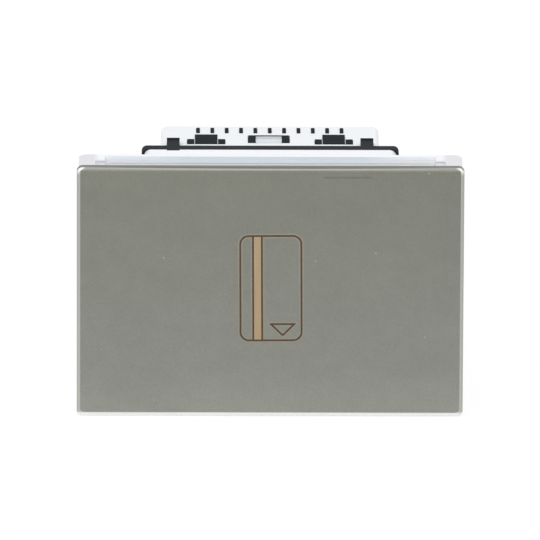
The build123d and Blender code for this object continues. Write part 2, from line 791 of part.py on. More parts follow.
# Card lever: a hanging arm with a sloped nose in the slot and a pusher for the switch
with BuildPart() as card_lever:
    arm_front_y = lever_y - lever_arm_front
    arm_back_y = lever_y + lever_arm_back
    with BuildSketch(Plane.YZ):
        with BuildLine():
            Polyline(
                (arm_front_y, lever_z),
                (arm_back_y, lever_z),
                (arm_back_y, lever_z - lever_arm_drop),
                (arm_front_y, lever_z - lever_arm_drop),
                close=True,
            )
        make_face()
    extrude(amount=lever_arm_width / 2, both=True)
    with BuildSketch(Plane.YZ) as nose_outline:
        with BuildLine():
            Polyline(
                (arm_front_y, lever_z - nose_root_drop),
                (lever_y - nose_shoulder_reach, lever_z - nose_shoulder_drop),
                (lever_y - nose_reach, lever_z - nose_tip_drop),
                (lever_y - nose_reach, lever_z - nose_tip_drop - nose_tip_height),
                (arm_front_y, lever_z - lever_arm_drop),
                close=True,
            )
        make_face()
        fillet(nose_outline.vertices().group_by(Axis.X)[0], radius=nose_tip_radius)
    extrude(amount=nose_width / 2, both=True)
    with BuildSketch(Plane.YZ):
        with Locations((lever_y, lever_z)):
            Circle(lever_boss_radius)
    extrude(amount=lever_boss_width / 2, both=True)
    with BuildSketch(Plane.YZ):
        with Locations((lever_y + pusher_offset, lever_z - pusher_drop)):
            Circle(pusher_radius)
    extrude(amount=pusher_width / 2, both=True)
    # Pad that stops the arm on the pocket's back wall
    pad_depth = arm_front_y - plinth_front_y - snap_gap
    with Locations((0, arm_front_y - pad_depth / 2, lever_z - stop_pad_drop)):
        Box(lever_arm_width / 2, pad_depth, stop_pad_height)
    # Lug for the spring's leg
    lug_end_x = coil_start_x + spring_stop_width / 2
    with Locations((lug_end_x / 2, (arm_front_y + spring_rest_y) / 2, lever_z - spring_lug_drop)):
        Box(lug_end_x, spring_rest_y - arm_front_y, spring_lug_height)
    with BuildSketch(Plane.YZ):
        with Locations((lever_y, lever_z)):
            Circle(pin_radius + running_gap)
    extrude(amount=lever_boss_width, both=True, mode=Mode.SUBTRACT)
card_lever.part.label = "card_lever"
export_step(card_lever.part, "parts/card_lever.step")

# Lever pin, held in the ears
with BuildPart() as lever_pin:
    with BuildSketch(Plane.YZ.offset(left_ear_x)):
        with Locations((lever_y, lever_z)):
            Circle(pin_radius)
    extrude(amount=right_ear_x + ear_width - left_ear_x)
lever_pin.part.label = "lever_pin"
export_step(lever_pin.part, "parts/lever_pin.step")

# Torsion spring round the pin: one leg rests on its stop, the other behind the lug
spring_coil = Helix(
    spring_pitch, spring_turns * spring_pitch, spring_radius, direction=(1, 0, 0)
)
coil_line = Pos(coil_start_x, lever_y, lever_z) * Rot(-90, 0, 0) * spring_coil
with BuildPart() as lever_spring:
    with BuildSketch(Plane(coil_line @ 0, z_dir=coil_line % 0)):
        RegularPolygon(spring_wire_radius, wire_sides)
    sweep(path=coil_line)
    with BuildSketch(level_plane(lever_z)):
        with Locations((coil_start_x, lever_y + spring_radius)):
            RegularPolygon(spring_wire_radius, wire_sides)
    extrude(amount=-spring_leg)
    with BuildSketch(level_plane(lever_z)):
        with Locations((coil_end_x, lever_y + spring_radius)):
            RegularPolygon(spring_wire_radius, wire_sides)
    extrude(amount=spring_leg)
lever_spring.part.label = "lever_spring"
export_step(lever_spring.part, "parts/lever_spring.step")

# Light pipe: a rod from the locator light to a flat head in the slot's back wall
with BuildPart() as led_light_pipe:
    pipe_back_y = board_y - led_height - pipe_led_gap
    with BuildSketch(front_plane(pipe_back_y)):
        with Locations((stripe_x, led_z)):
            Circle(pipe_radius)
    extrude(amount=pipe_back_y - slot_back_y)
    with BuildSketch(front_plane(slot_back_y + pipe_head_depth)):
        with Locations((stripe_x, led_z)):
            RectangleRounded(pipe_head_width, pipe_head_height, pipe_head_corner)
    extrude(amount=pipe_head_depth)
led_light_pipe.part.label = "led_light_pipe"
export_step(led_light_pipe.part, "parts/led_light_pipe.step")

# Places of the leads and pins on the board
screw_places = [(-board_post_x, board_post_z), (board_post_x, board_post_z)]
peg_places = [(-board_post_x, -board_post_z), (board_post_x, -board_post_z)]
switch_pin_places = [(step * switch_pin_pitch, switch_z) for step in (-1, 0, 1)]
contact_pin_places = [(x, contact_leg_z) for x in pole_places]
relay_left_x = relay_x - relay_width / 2
relay_right_x = relay_x + relay_width / 2
relay_low_z = relay_z - relay_height / 2 + relay_pin_inset
relay_high_z = relay_z + relay_height / 2 - relay_pin_inset
relay_pin_places = [
    (relay_left_x + relay_pin_inset, relay_low_z),
    (relay_left_x + relay_pin_inset, relay_high_z),
    (relay_left_x + relay_coil_pin_inset, relay_low_z),
    (relay_right_x - relay_pin_inset, relay_low_z),
    (relay_right_x - relay_pin_inset, relay_high_z),
]
led_lead_places = [(stripe_x + side * led_lead_pitch / 2, led_z) for side in (-1, 1)]

# Circuit board
with BuildPart() as circuit_board:
    with BuildSketch(front_plane(board_back_y)):
        Rectangle(board_width, board_height)
        with Locations(*screw_places, *peg_places):
            Circle(board_screw_radius + snap_gap, mode=Mode.SUBTRACT)
        with Locations(*switch_pin_places, *contact_pin_places, *relay_pin_places):
            Circle(pin_hole_radius, mode=Mode.SUBTRACT)
        with Locations(*led_lead_places):
            Circle(lead_radius + snap_gap, mode=Mode.SUBTRACT)
    extrude(amount=board_thickness)
circuit_board.part.label = "circuit_board"
export_step(circuit_board.part, "parts/circuit_board.step")

# Screws that hold the board on its posts
with BuildPart() as board_screws:
    with BuildSketch(front_plane(board_back_y + board_screw_head)):
        with Locations(*screw_places):
            Circle(board_screw_head_radius)
    extrude(amount=board_screw_head)
    with BuildSketch(front_plane(board_back_y)):
        with Locations(*screw_places):
            Circle(board_screw_radius)
    extrude(amount=board_screw_length)
    with BuildSketch(front_plane(board_back_y + board_screw_head)):
        with Locations(*screw_places):
            Rectangle(2 * board_screw_head_radius, board_slot_width)
            Rectangle(board_slot_width, 2 * board_screw_head_radius)
    extrude(amount=board_slot_depth, mode=Mode.SUBTRACT)
board_screws.part.label = "board_screws"
export_step(board_screws.part, "parts/board_screws.step")

# Microswitch: a sealed case with a well for the plunger and two through holes
with BuildPart() as microswitch_case:
    with Locations((0, board_y - switch_depth / 2, switch_z)):
        Box(switch_width, switch_depth, switch_height)
    with BuildSketch(front_plane(switch_front_y + plunger_length + plunger_travel)):
        with Locations((0, switch_z)):
            Rectangle(plunger_width + 2 * running_gap, plunger_height + 2 * running_gap)
    extrude(amount=plunger_length + plunger_travel, mode=Mode.SUBTRACT)
    with BuildSketch(level_plane(switch_z - switch_height / 2)):
        with Locations(*[(side * switch_hole_x, board_y - switch_hole_back) for side in (-1, 1)]):
            Circle(switch_hole_radius)
    extrude(amount=switch_height, mode=Mode.SUBTRACT)
microswitch_case.part.label = "microswitch_case"
export_step(microswitch_case.part, "parts/microswitch_case.step")

# Plunger of the microswitch
with BuildPart() as microswitch_plunger:
    with BuildSketch(front_plane(plunger_front_y + plunger_length)):
        with Locations((0, switch_z)):
            Rectangle(plunger_width, plunger_height)
    extrude(amount=plunger_length)
    tip_edges = microswitch_plunger.faces().sort_by(Axis.Y)[0].edges()
    chamfer(tip_edges.filter_by(Axis.X), plunger_bevel)
microswitch_plunger.part.label = "microswitch_plunger"
export_step(microswitch_plunger.part, "parts/microswitch_plunger.step")

# Solder pins of the microswitch
with BuildPart() as microswitch_pins:
    with BuildSketch(front_plane(board_back_y)):
        with Locations(*switch_pin_places):
            Circle(switch_pin_radius)
    extrude(amount=board_thickness)
microswitch_pins.part.label = "microswitch_pins"
export_step(microswitch_pins.part, "parts/microswitch_pins.step")

# Locator light: a domed lamp on two leads
with BuildPart() as status_led:
    with BuildSketch(front_plane(board_y)):
        with Locations((stripe_x, led_z)):
            Circle(led_flange_radius)
    extrude(amount=led_flange)
    with BuildSketch(front_plane(board_y)):
        with Locations((stripe_x, led_z)):
            Circle(led_radius)
    extrude(amount=led_height)
    chamfer(status_led.edges().sort_by(Axis.Y)[0], led_dome)
    with BuildSketch(front_plane(board_back_y)):
        with Locations(*led_lead_places):
            Circle(lead_radius)
    extrude(amount=board_thickness)
status_led.part.label = "status_led"
export_step(status_led.part, "parts/status_led.step")

# Relay: a rounded case on a slightly wider base
with BuildPart() as power_relay:
    with Locations((relay_x, board_back_y + relay_base / 2, relay_z)):
        Box(relay_width, relay_base, relay_height)
    case_depth = relay_depth - relay_base
    with Locations((relay_x, board_back_y + relay_base + case_depth / 2, relay_z)):
        Box(
            relay_width - 2 * relay_base_margin,
            case_depth,
            relay_height - 2 * relay_base_margin,
        )
    relay_top = power_relay.faces().sort_by(Axis.Y)[-1]
    fillet(relay_top.edges(), radius=relay_edge_radius)
power_relay.part.label = "power_relay"
export_step(power_relay.part, "parts/power_relay.step")

# Pins of the relay, soldered through the board
with BuildPart() as relay_pins:
    with BuildSketch(front_plane(board_back_y)):
        with Locations(*relay_pin_places):
            Circle(relay_pin_radius)
    extrude(amount=relay_pin_length)
relay_pins.part.label = "relay_pins"
export_step(relay_pins.part, "parts/relay_pins.step")

# Film capacitor
with BuildPart() as film_capacitor:
    with Locations((film_x, board_back_y + film_depth / 2, film_z)):
        Box(film_width, film_depth, film_height)
    fillet(film_capacitor.edges().filter_by(Axis.Y), radius=film_edge_radius)
    fillet(film_capacitor.faces().sort_by(Axis.Y)[-1].edges(), radius=film_edge_radius)
film_capacitor.part.label = "film_capacitor"
export_step(film_capacitor.part, "parts/film_capacitor.step")

# Electrolytic capacitor: a can with a rolled groove near its base
with BuildPart() as electrolytic_capacitor:
    can_back_y = board_back_y + electrolytic_depth
    with BuildSketch(front_plane(can_back_y)):
        with Locations((electrolytic_x, electrolytic_z)):
            Circle(electrolytic_radius)
    extrude(amount=electrolytic_depth)
    chamfer(electrolytic_capacitor.edges().sort_by(Axis.Y)[-1], electrolytic_edge)
    groove_end_y = board_back_y + electrolytic_groove_y + electrolytic_groove_width
    with BuildSketch(front_plane(groove_end_y)):
        with Locations((electrolytic_x, electrolytic_z)):
            Circle(electrolytic_radius + cut_overrun)
            Circle(electrolytic_radius - electrolytic_groove, mode=Mode.SUBTRACT)
    extrude(amount=electrolytic_groove_width, mode=Mode.SUBTRACT)
electrolytic_capacitor.part.label = "electrolytic_capacitor"
export_step(electrolytic_capacitor.part, "parts/electrolytic_capacitor.step")

# Varistor: a lacquered disc that stands on its two leads
with BuildPart() as varistor:
    varistor_y = board_back_y + varistor_standoff + varistor_radius
    with BuildSketch(Plane.YZ.offset(varistor_x)):
        with Locations((varistor_y, varistor_z)):
            Circle(varistor_radius)
    extrude(amount=varistor_thickness / 2, both=True)
    chamfer(varistor.edges(), varistor_bevel)
    with BuildSketch(front_plane(varistor_y)):
        with Locations(*[(varistor_x, varistor_z + side * varistor_lead_z) for side in (-1, 1)]):
            Circle(lead_radius)
    extrude(amount=varistor_y - board_back_y)
varistor.part.label = "varistor"
export_step(varistor.part, "parts/varistor.step")


def axial_part(x, z, body_radius, body_length, overhang, axis_y, foot_y):
    """A body that lies along Z on two bent leads, which end on the board at foot_y."""
    low_z = z - body_length / 2 - overhang + lead_radius
    high_z = z + body_length / 2 + overhang - lead_radius
    with BuildPart() as axial:
        with BuildLine():
            Polyline(
                (x, foot_y, low_z),
                (x, axis_y, low_z),
                (x, axis_y, high_z),
                (x, foot_y, high_z),
            )
        with BuildSketch(front_plane(foot_y)):
            with Locations((x, low_z)):
                RegularPolygon(lead_radius, wire_sides)
        sweep(transition=Transition.RIGHT)
        with Locations(Location((x, axis_y, z))):
            Cylinder(body_radius, body_length)
    return axial.part


# Fusible resistor: a waisted body on bent leads
fuse_y = board_back_y + fuse_standoff + fuse_radius
fuse_body = axial_part(
    fuse_x, fuse_z, fuse_radius, fuse_length, fuse_lead_overhang, fuse_y, board_back_y
)
with BuildPart() as fuse_resistor:
    add(fuse_body)
    with BuildSketch(level_plane(fuse_z)):
        with Locations((fuse_x, fuse_y)):
            Circle(fuse_radius + cut_overrun)
            Circle(fuse_radius - fuse_waist, mode=Mode.SUBTRACT)
    extrude(amount=fuse_waist_length / 2, both=True, mode=Mode.SUBTRACT)
fuse_resistor.part.label = "fuse_resistor"
export_step(fuse_resistor.part, "parts/fuse_resistor.step")

# Rectifier diodes: four in a grid on the front of the board
diode_y = board_y - diode_standoff - diode_radius
diode_bodies = [
    axial_part(
        diode_x + column * diode_x_pitch / 2,
        diode_z + row * diode_z_pitch / 2,
        diode_radius,
        diode_length,
        diode_lead_overhang,
        diode_y,
        board_y,
    )
    for column in (-1, 1)
    for row in (-1, 1)
]
with BuildPart() as rectifier_diodes:
    for diode_body in diode_bodies:
        add(diode_body)
rectifier_diodes.part.label = "rectifier_diodes"
export_step(rectifier_diodes.part, "parts/rectifier_diodes.step")

# Control chip with its gull-wing leads
with BuildPart() as control_chip:
    with Locations((chip_x, board_y - chip_depth / 2, chip_z)):
        Box(chip_width, chip_depth, chip_height)
    chamfer(control_chip.faces().sort_by(Axis.Y)[0].edges(), chip_lead_thickness)
    lead_span = chip_width + 2 * chip_lead_reach
    with BuildSketch(front_plane(board_y)):
        with Locations((chip_x, chip_z)):
            with GridLocations(lead_span, chip_lead_pitch, 1, chip_lead_count):
                Rectangle(lead_span, chip_lead_width)
    extrude(amount=chip_lead_thickness)
control_chip.part.label = "control_chip"
export_step(control_chip.part, "parts/control_chip.step")

# Small resistors in rows beside the chip
with BuildPart() as chip_resistors:
    with BuildSketch(front_plane(board_y)):
        with Locations((resistor_x, resistor_z)):
            with GridLocations(
                resistor_x_pitch, resistor_z_pitch, resistor_columns, resistor_rows
            ):
                Rectangle(resistor_width, resistor_height)
    extrude(amount=resistor_depth)
chip_resistors.part.label = "chip_resistors"
export_step(chip_resistors.part, "parts/chip_resistors.step")

# Terminal block: a pocket for each cage, its wire entry below and its screw behind
pocket_depth_y = shoulder_y - cage_y + cage_gap
pocket_mid_y = (shoulder_y + cage_y - cage_gap) / 2
with BuildPart() as terminal_block:
    with BuildSketch(Plane.YZ):
        with BuildLine():
            Polyline(
                (block_front_y, block_top_z),
                (block_back_y, block_top_z),
                (block_back_y, block_bottom_z),
                (block_step_y, block_bottom_z),
                (block_step_y, block_step_z),
                (block_front_y, block_step_z),
                close=True,
            )
        make_face()
    extrude(amount=block_width / 2, both=True)
    # Feet that hold it off the board's solder joints
    foot_x = (block_width - block_foot) / 2
    with BuildSketch(front_plane(block_front_y)):
        with Locations(
            (-foot_x, block_top_z - block_foot / 2),
            (foot_x, block_top_z - block_foot / 2),
            (-foot_x, block_step_z + block_foot / 2),
            (foot_x, block_step_z + block_foot / 2),
        ):
            Rectangle(block_foot, block_foot)
    extrude(amount=block_standoff)
    with Locations(*[(x, pocket_mid_y, cage_z) for x in pole_places]):
        Box(
            cage_width + 2 * cage_gap,
            pocket_depth_y,
            cage_height + 2 * cage_gap,
            mode=Mode.SUBTRACT,
        )
    with BuildSketch(level_plane(block_bottom_z)):
        with Locations(*[(x, wire_y) for x in pole_places]):
            Rectangle(wire_hole_width, wire_hole_depth)
    extrude(amount=cage_z - block_bottom_z, mode=Mode.SUBTRACT)
    wire_mouths = terminal_block.faces().sort_by(Axis.Z)[0].inner_wires()
    for wire_mouth in wire_mouths:
        chamfer(wire_mouth.edges(), wire_hole_chamfer)
    # Slot for each contact's bar and leg
    slot_end_z = contact_leg_z + contact_thickness / 2 + cage_gap
    with BuildSketch(front_plane(contact_back_y + cage_gap)):
        with Locations(*[(x, (cage_z + slot_end_z) / 2) for x in pole_places]):
            Rectangle(contact_width + 2 * cage_gap, slot_end_z - cage_z)
    extrude(amount=contact_thickness + 2 * cage_gap, mode=Mode.SUBTRACT)
    with BuildSketch(front_plane(contact_back_y + cage_gap)):
        with Locations(*[(x, contact_leg_z) for x in pole_places]):
            Rectangle(contact_width + 2 * cage_gap, contact_thickness + 2 * cage_gap)
    extrude(amount=contact_back_y + cage_gap - block_front_y, mode=Mode.SUBTRACT)
    # Stepped bore for each screw
    with BuildSketch(front_plane(block_back_y)):
        with Locations(*[(x, cage_z) for x in pole_places]):
            Circle(clamp_head_radius + snap_gap)
    extrude(amount=block_back_y - clamp_head_y, mode=Mode.SUBTRACT)
    with BuildSketch(front_plane(clamp_head_y)):
        with Locations(*[(x, cage_z) for x in pole_places]):
            Circle(clamp_screw_radius + snap_gap)
    extrude(amount=clamp_shoulder, mode=Mode.SUBTRACT)
terminal_block.part.label = "terminal_block"
export_step(terminal_block.part, "parts/terminal_block.step")

# Contact bars: each runs through its cage, turns down to the board and ends in a pin
with BuildPart() as terminal_contacts:
    bar_end_z = contact_leg_z + contact_thickness / 2
    bar_start_z = cage_z - cage_height / 2
    with BuildSketch(front_plane(contact_back_y)):
        with Locations(*[(x, (bar_start_z + bar_end_z) / 2) for x in pole_places]):
            Rectangle(contact_width, bar_end_z - bar_start_z)
    extrude(amount=contact_thickness)
    with BuildSketch(front_plane(contact_back_y)):
        with Locations(*[(x, contact_leg_z) for x in pole_places]):
            Rectangle(contact_leg_width, contact_thickness)
    extrude(amount=contact_back_y - board_back_y)
    with BuildSketch(front_plane(board_back_y)):
        with Locations(*contact_pin_places):
            Circle(contact_pin_radius)
    extrude(amount=board_thickness)
terminal_contacts.part.label = "terminal_contacts"
export_step(terminal_contacts.part, "parts/terminal_contacts.step")


def terminal_cage(x):
    """A square brass frame: the screw turns in its back wall and lifts it to the bar."""
    with BuildPart() as cage:
        with BuildSketch(level_plane(cage_z)):
            with Locations((x, (cage_y + cage_back_y) / 2)):
                Rectangle(cage_width, cage_back_y - cage_y)
            with Locations((x, cage_y + cage_floor + cage_opening / 2)):
                Rectangle(cage_width - 2 * cage_side, cage_opening, mode=Mode.SUBTRACT)
        extrude(amount=cage_height / 2, both=True)
        with BuildSketch(front_plane(cage_back_y)):
            with Locations((x, cage_z)):
                Circle(clamp_screw_radius + running_gap)
        extrude(amount=cage_top, mode=Mode.SUBTRACT)
    return cage.part


def terminal_screw(x):
    """A slotted clamp screw whose tip bears on the contact bar."""
    with BuildPart() as screw:
        with BuildSketch(front_plane(clamp_head_y + clamp_head)):
            with Locations((x, cage_z)):
                Circle(clamp_head_radius)
        extrude(amount=clamp_head)
        with BuildSketch(front_plane(clamp_head_y)):
            with Locations((x, cage_z)):
                Circle(clamp_screw_radius)
        extrude(amount=clamp_head_y - contact_back_y - running_gap)
        with BuildSketch(front_plane(clamp_head_y + clamp_head)):
            with Locations((x, cage_z)):
                Rectangle(clamp_slot_width, 2 * clamp_head_radius)
        extrude(amount=clamp_slot_depth, mode=Mode.SUBTRACT)
    return screw.part


# One cage and one screw for each pole
for number, pole_x in enumerate(pole_places, start=1):
    for name, piece in (
        (f"terminal_cage_{number}", terminal_cage(pole_x)),
        (f"terminal_screw_{number}", terminal_screw(pole_x)),
    ):
        piece.label = name
        export_step(piece, f"parts/{name}.step")
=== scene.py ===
import json
import math

import bmesh
import bpy
from mathutils import Matrix, Quaternion, Vector


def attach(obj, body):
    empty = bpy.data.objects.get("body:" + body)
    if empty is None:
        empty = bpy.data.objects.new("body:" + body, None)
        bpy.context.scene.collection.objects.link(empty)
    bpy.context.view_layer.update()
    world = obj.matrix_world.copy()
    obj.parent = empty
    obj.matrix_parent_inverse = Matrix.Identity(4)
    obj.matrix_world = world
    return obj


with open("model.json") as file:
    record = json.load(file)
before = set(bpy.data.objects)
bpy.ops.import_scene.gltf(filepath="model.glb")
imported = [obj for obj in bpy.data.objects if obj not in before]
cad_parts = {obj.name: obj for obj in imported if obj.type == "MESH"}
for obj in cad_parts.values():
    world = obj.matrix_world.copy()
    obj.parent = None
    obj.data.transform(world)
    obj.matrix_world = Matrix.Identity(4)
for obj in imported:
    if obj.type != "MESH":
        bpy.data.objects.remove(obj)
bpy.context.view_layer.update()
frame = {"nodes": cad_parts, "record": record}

MM = 0.001
nodes = frame["nodes"]

# Places on the CAD nodes, in mm, that the materials and the prints follow. A half is measured
# from the middle to both sides.
COVER_FRONT = -15.2
COVER_HALF_WIDTH, COVER_HALF_HEIGHT = 33, 22
RIM_X, RIM_Z, RIM_MIDDLE_Z = (31.45, 33.25), (20.93, 22.03), 0.23
RIM_BACK = -14.55
RIM_OUTER_X = (32.55, 32.9)
SCRATCH_X, SCRATCH_Z, SCRATCH_HALF = 13.0, 20.44, 4.6

END_BLOCK_X = (29.2, 30.2)
SLOT_HALF, SLOT_FRONT, SLOT_BACK, SLOT_MOUTH = 28.2, -11.9, -7.4, 21.75
NOTCH_HALF, NOTCH_BACK = 29.9, -9.4
POCKET_INNER_HALF, POCKET_INNER_FLOOR = 30.4, -20.8

HOUSING_HALF = 18.7
CATCH_X, CATCH_HALF, CATCH_FRONT, CATCH_BACK = -0.2, 2.25, 4.5, 9.4

TEETH_FRONT, TEETH_HALF = 4.1, 14.6
TOOTH_X, TOOTH_HALF = 10.95, 1.98
FOOT_HALF, FOOT_FRONT, FOOT_BACK = 3.3, 4.3, 7.4
FRAME_TOP = 20.8

BOARD_FRONT, BOARD_MIDDLE, BOARD_HALF = 4.0, 4.8, 0.78

# Tones of the cover's face with painted light, as they show on a screen: height from the cover's
# lower end to its upper end as 0 to 1, and red, green and blue
FACE_LIGHT_TONES = (
    (0.03, (145, 146, 138)), (0.2, (136, 137, 129)), (0.38, (134, 135, 127)),
    (0.55, (130, 131, 122)), (0.75, (127, 128, 119)), (0.97, (125, 126, 115)),
)

# Painted light and shade of the slot's walls, of their ends and tips, and of the notches beside
# them, with height from SLOT_LOW to SLOT_HIGH as 0 to 1
SLOT_LOW, SLOT_HIGH = 20.4, 22.0
SLOT_SHADE_TONES = (
    (0.18, (0.90, 0.91, 0.90)), (0.23, (0.60, 0.63, 0.67)), (0.29, (0.62, 0.66, 0.70)),
    (0.34, (0.87, 0.92, 0.97)), (0.66, (0.86, 0.92, 0.99)), (0.70, (0.585, 0.645, 0.70)),
)
SLOT_END_LIGHT_TONES = (
    (0.18, (0.96, 0.965, 0.95)), (0.23, (0.68, 0.70, 0.73)), (0.29, (0.70, 0.73, 0.76)),
    (0.34, (0.97, 0.975, 0.99)), (0.66, (0.97, 0.98, 0.99)), (0.70, (0.74, 0.785, 0.83)),
)
SLOT_TIP_LIGHT_TONES = ((0.66, (0.97, 0.975, 0.98)), (0.70, (0.79, 0.81, 0.845)))
NOTCH_SHADE_TONES = (
    (0.70, (0.96, 0.955, 0.975)), (0.80, (0.70, 0.70, 0.755)), (0.93, (0.66, 0.66, 0.72)),
)


# Materials, made of nodes, in metres of the object's own space
class Shader:
    """A material whose nodes are added one by one; the Principled shader is self.main."""

    def __init__(self, name):
        self.material = bpy.data.materials.new(name)
        self.material.use_nodes = True
        self.tree = self.material.node_tree
        self.tree.nodes.clear()
        self.out = self.tree.nodes.new("ShaderNodeOutputMaterial")
        self.main = self.tree.nodes.new("ShaderNodeBsdfPrincipled")
        self.link(self.main.outputs[0], self.out.inputs["Surface"])
        self.coords = self.tree.nodes.new("ShaderNodeTexCoord")
        self.place = self.coords.outputs["Object"]

    def link(self, source, target):
        self.tree.links.new(source, target)

    def node(self, kind, **values):
        new = self.tree.nodes.new(kind)
        for key, value in values.items():
            setattr(new, key, value)
        return new

    def math(self, operation, first, second=None):
        new = self.node("ShaderNodeMath", operation=operation)
        for socket, value in zip(new.inputs, (first, second)):
            if value is None:
                continue
            if isinstance(value, (int, float)):
                socket.default_value = value
            else:
                self.link(value, socket)
        return new.outputs[0]

    def times(self, first, *others):
        """The product of masks and numbers."""
        for other in others:
            first = self.math("MULTIPLY", first, other)
        return first

    def off(self, value, centre=0):
        """How far value, in metres, lies from centre, in mm, to either side."""
        if centre:
            value = self.math("SUBTRACT", value, centre * MM)
        return self.math("ABSOLUTE", value)

    def rise(self, value, start, end):
        """A mask that goes from 0 at start to 1 at end, both in mm."""
        return self.spread(value, 0.0, 1.0, start * MM, end * MM)

    def fall(self, value, start, end):
        """A mask that goes from 1 at start to 0 at end, both in mm."""
        return self.spread(value, 1.0, 0.0, start * MM, end * MM)

    def scale(self, colour, factor):
        new = self.node("ShaderNodeVectorMath", operation="SCALE")
        self.link(colour, new.inputs[0])
        self.link(factor, new.inputs["Scale"])
        return new.outputs[0]

    def base(self):
        """What the shader's base colour is linked to so far."""
        return self.main.inputs["Base Color"].links[0].from_socket

    def axes(self):
        split = self.node("ShaderNodeSeparateXYZ")
        self.link(self.place, split.inputs[0])
        return split.outputs

    def flat(self, first, second):
        """A vector of two numbers, for textures in a plane."""
        new = self.node("ShaderNodeCombineXYZ")
        self.link(first, new.inputs[0])
        self.link(second, new.inputs[1])
        return new.outputs[0]

    def noise(self, size, detail=3.0, rough=0.55, stretch=None):
        """A cloudy value from 0 to 1 whose features are about size metres across."""
        texture = self.node("ShaderNodeTexNoise")
        texture.inputs["Scale"].default_value = 1.0 / size
        texture.inputs["Detail"].default_value = detail
        texture.inputs["Roughness"].default_value = rough
        source = self.place
        if stretch:
            mapping = self.node("ShaderNodeMapping")
            mapping.inputs["Scale"].default_value = stretch
            self.link(source, mapping.inputs["Vector"])
            source = mapping.outputs[0]
        self.link(source, texture.inputs["Vector"])
        return texture.outputs["Fac"]

    def cells(self, size, vector, **values):
        """A plane's cells of about size metres, as the texture's outputs."""
        texture = self.node("ShaderNodeTexVoronoi", voronoi_dimensions="2D", **values)
        texture.inputs["Scale"].default_value = 1.0 / size
        self.link(vector, texture.inputs["Vector"])
        return texture

    def ramp(self, value, *stops):
        """Colour stops (position, colour) or grey stops (position, number)."""
        new = self.node("ShaderNodeValToRGB")
        while len(new.color_ramp.elements) < len(stops):
            new.color_ramp.elements.new(0.5)
        for element, (position, colour) in zip(new.color_ramp.elements, stops):
            element.position = position
            if isinstance(colour, (int, float)):
                colour = (colour, colour, colour)
            element.color = (*colour, 1.0)
        self.link(value, new.inputs[0])
        return new.outputs[0]

    def spread(self, value, low, high, start=0.0, end=1.0):
        """Low where value is at start or before, and high where it is at end or past it."""
        new = self.node("ShaderNodeMapRange")
        for key, number in (
            ("From Min", start), ("From Max", end), ("To Min", low), ("To Max", high)
        ):
            new.inputs[key].default_value = number
        self.link(value, new.inputs["Value"])
        return new.outputs[0]

    def blend(self, amount, first, second):
        """The first colour where amount is 0 and the second where it is 1."""
        new = self.node("ShaderNodeMix", data_type="RGBA", blend_type="MIX")
        if isinstance(amount, (int, float)):
            new.inputs[0].default_value = amount
        else:
            self.link(amount, new.inputs[0])
        for index, value in ((6, first), (7, second)):
            if isinstance(value, tuple):
                new.inputs[index].default_value = (*value, 1.0)
            else:
                self.link(value, new.inputs[index])
        return new.outputs[2]

    def bump(self, height, depth, strength=1.0, edge=0.0):
        new = self.node("ShaderNodeBump")
        new.inputs["Distance"].default_value = depth
        new.inputs["Strength"].default_value = strength
        self.link(height, new.inputs["Height"])
        if edge:
            soft = self.node("ShaderNodeBevel", samples=4)
            soft.inputs["Radius"].default_value = edge
            self.link(soft.outputs[0], new.inputs["Normal"])
        self.link(new.outputs[0], self.main.inputs["Normal"])


def shade(colour, factor):
    return tuple(min(1.0, channel * factor) for channel in colour)


def linear(red, green, blue):
    """Linear colour for a screen colour of 0 to 255."""
    return tuple(((value / 255 + 0.055) / 1.055) ** 2.4 for value in (red, green, blue))


def plastic(name, colour, rough=0.4, vary=0.04, grain=0.25 * MM, depth=0.006 * MM, edge=0.12 * MM,
            gloss=0.5):
    """Moulded plastic: cloudy tone, fine eroded grain and softened edges."""
    new = Shader(name)
    new.main.inputs["Specular IOR Level"].default_value = gloss
    cloud = new.noise(7 * MM, 4.0)
    fine = new.noise(grain, 2.0)
    tone = new.ramp(cloud, (0.25, shade(colour, 1 - vary)), (0.75, shade(colour, 1 + vary)))
    new.link(new.blend(new.spread(fine, 0.0, 0.35), tone, shade(colour, 1 - 1.5 * vary)),
             new.main.inputs["Base Color"])
    new.link(new.spread(fine, rough - 0.06, rough + 0.08), new.main.inputs["Roughness"])
    new.bump(fine, depth, 0.8, edge)
    return new


def metal(name, colour, rough=0.3, stretch=(1, 1, 1), grain=0.12 * MM, depth=0.004 * MM):
    """Plated or rolled metal: stained tone, fine drawn marks and a rough sheen that varies."""
    new = Shader(name)
    new.main.inputs["Metallic"].default_value = 1.0
    stain = new.noise(2.5 * MM, 5.0, 0.6)
    marks = new.noise(grain, 3.0, 0.6, stretch)
    tone = new.ramp(stain, (0.3, shade(colour, 0.86)), (0.7, colour))
    new.link(new.blend(new.spread(marks, 0.0, 0.3), tone, shade(colour, 0.75)),
             new.main.inputs["Base Color"])
    new.link(new.spread(marks, rough - 0.08, rough + 0.14), new.main.inputs["Roughness"])
    new.bump(marks, depth, 0.6, 0.06 * MM)
    return new


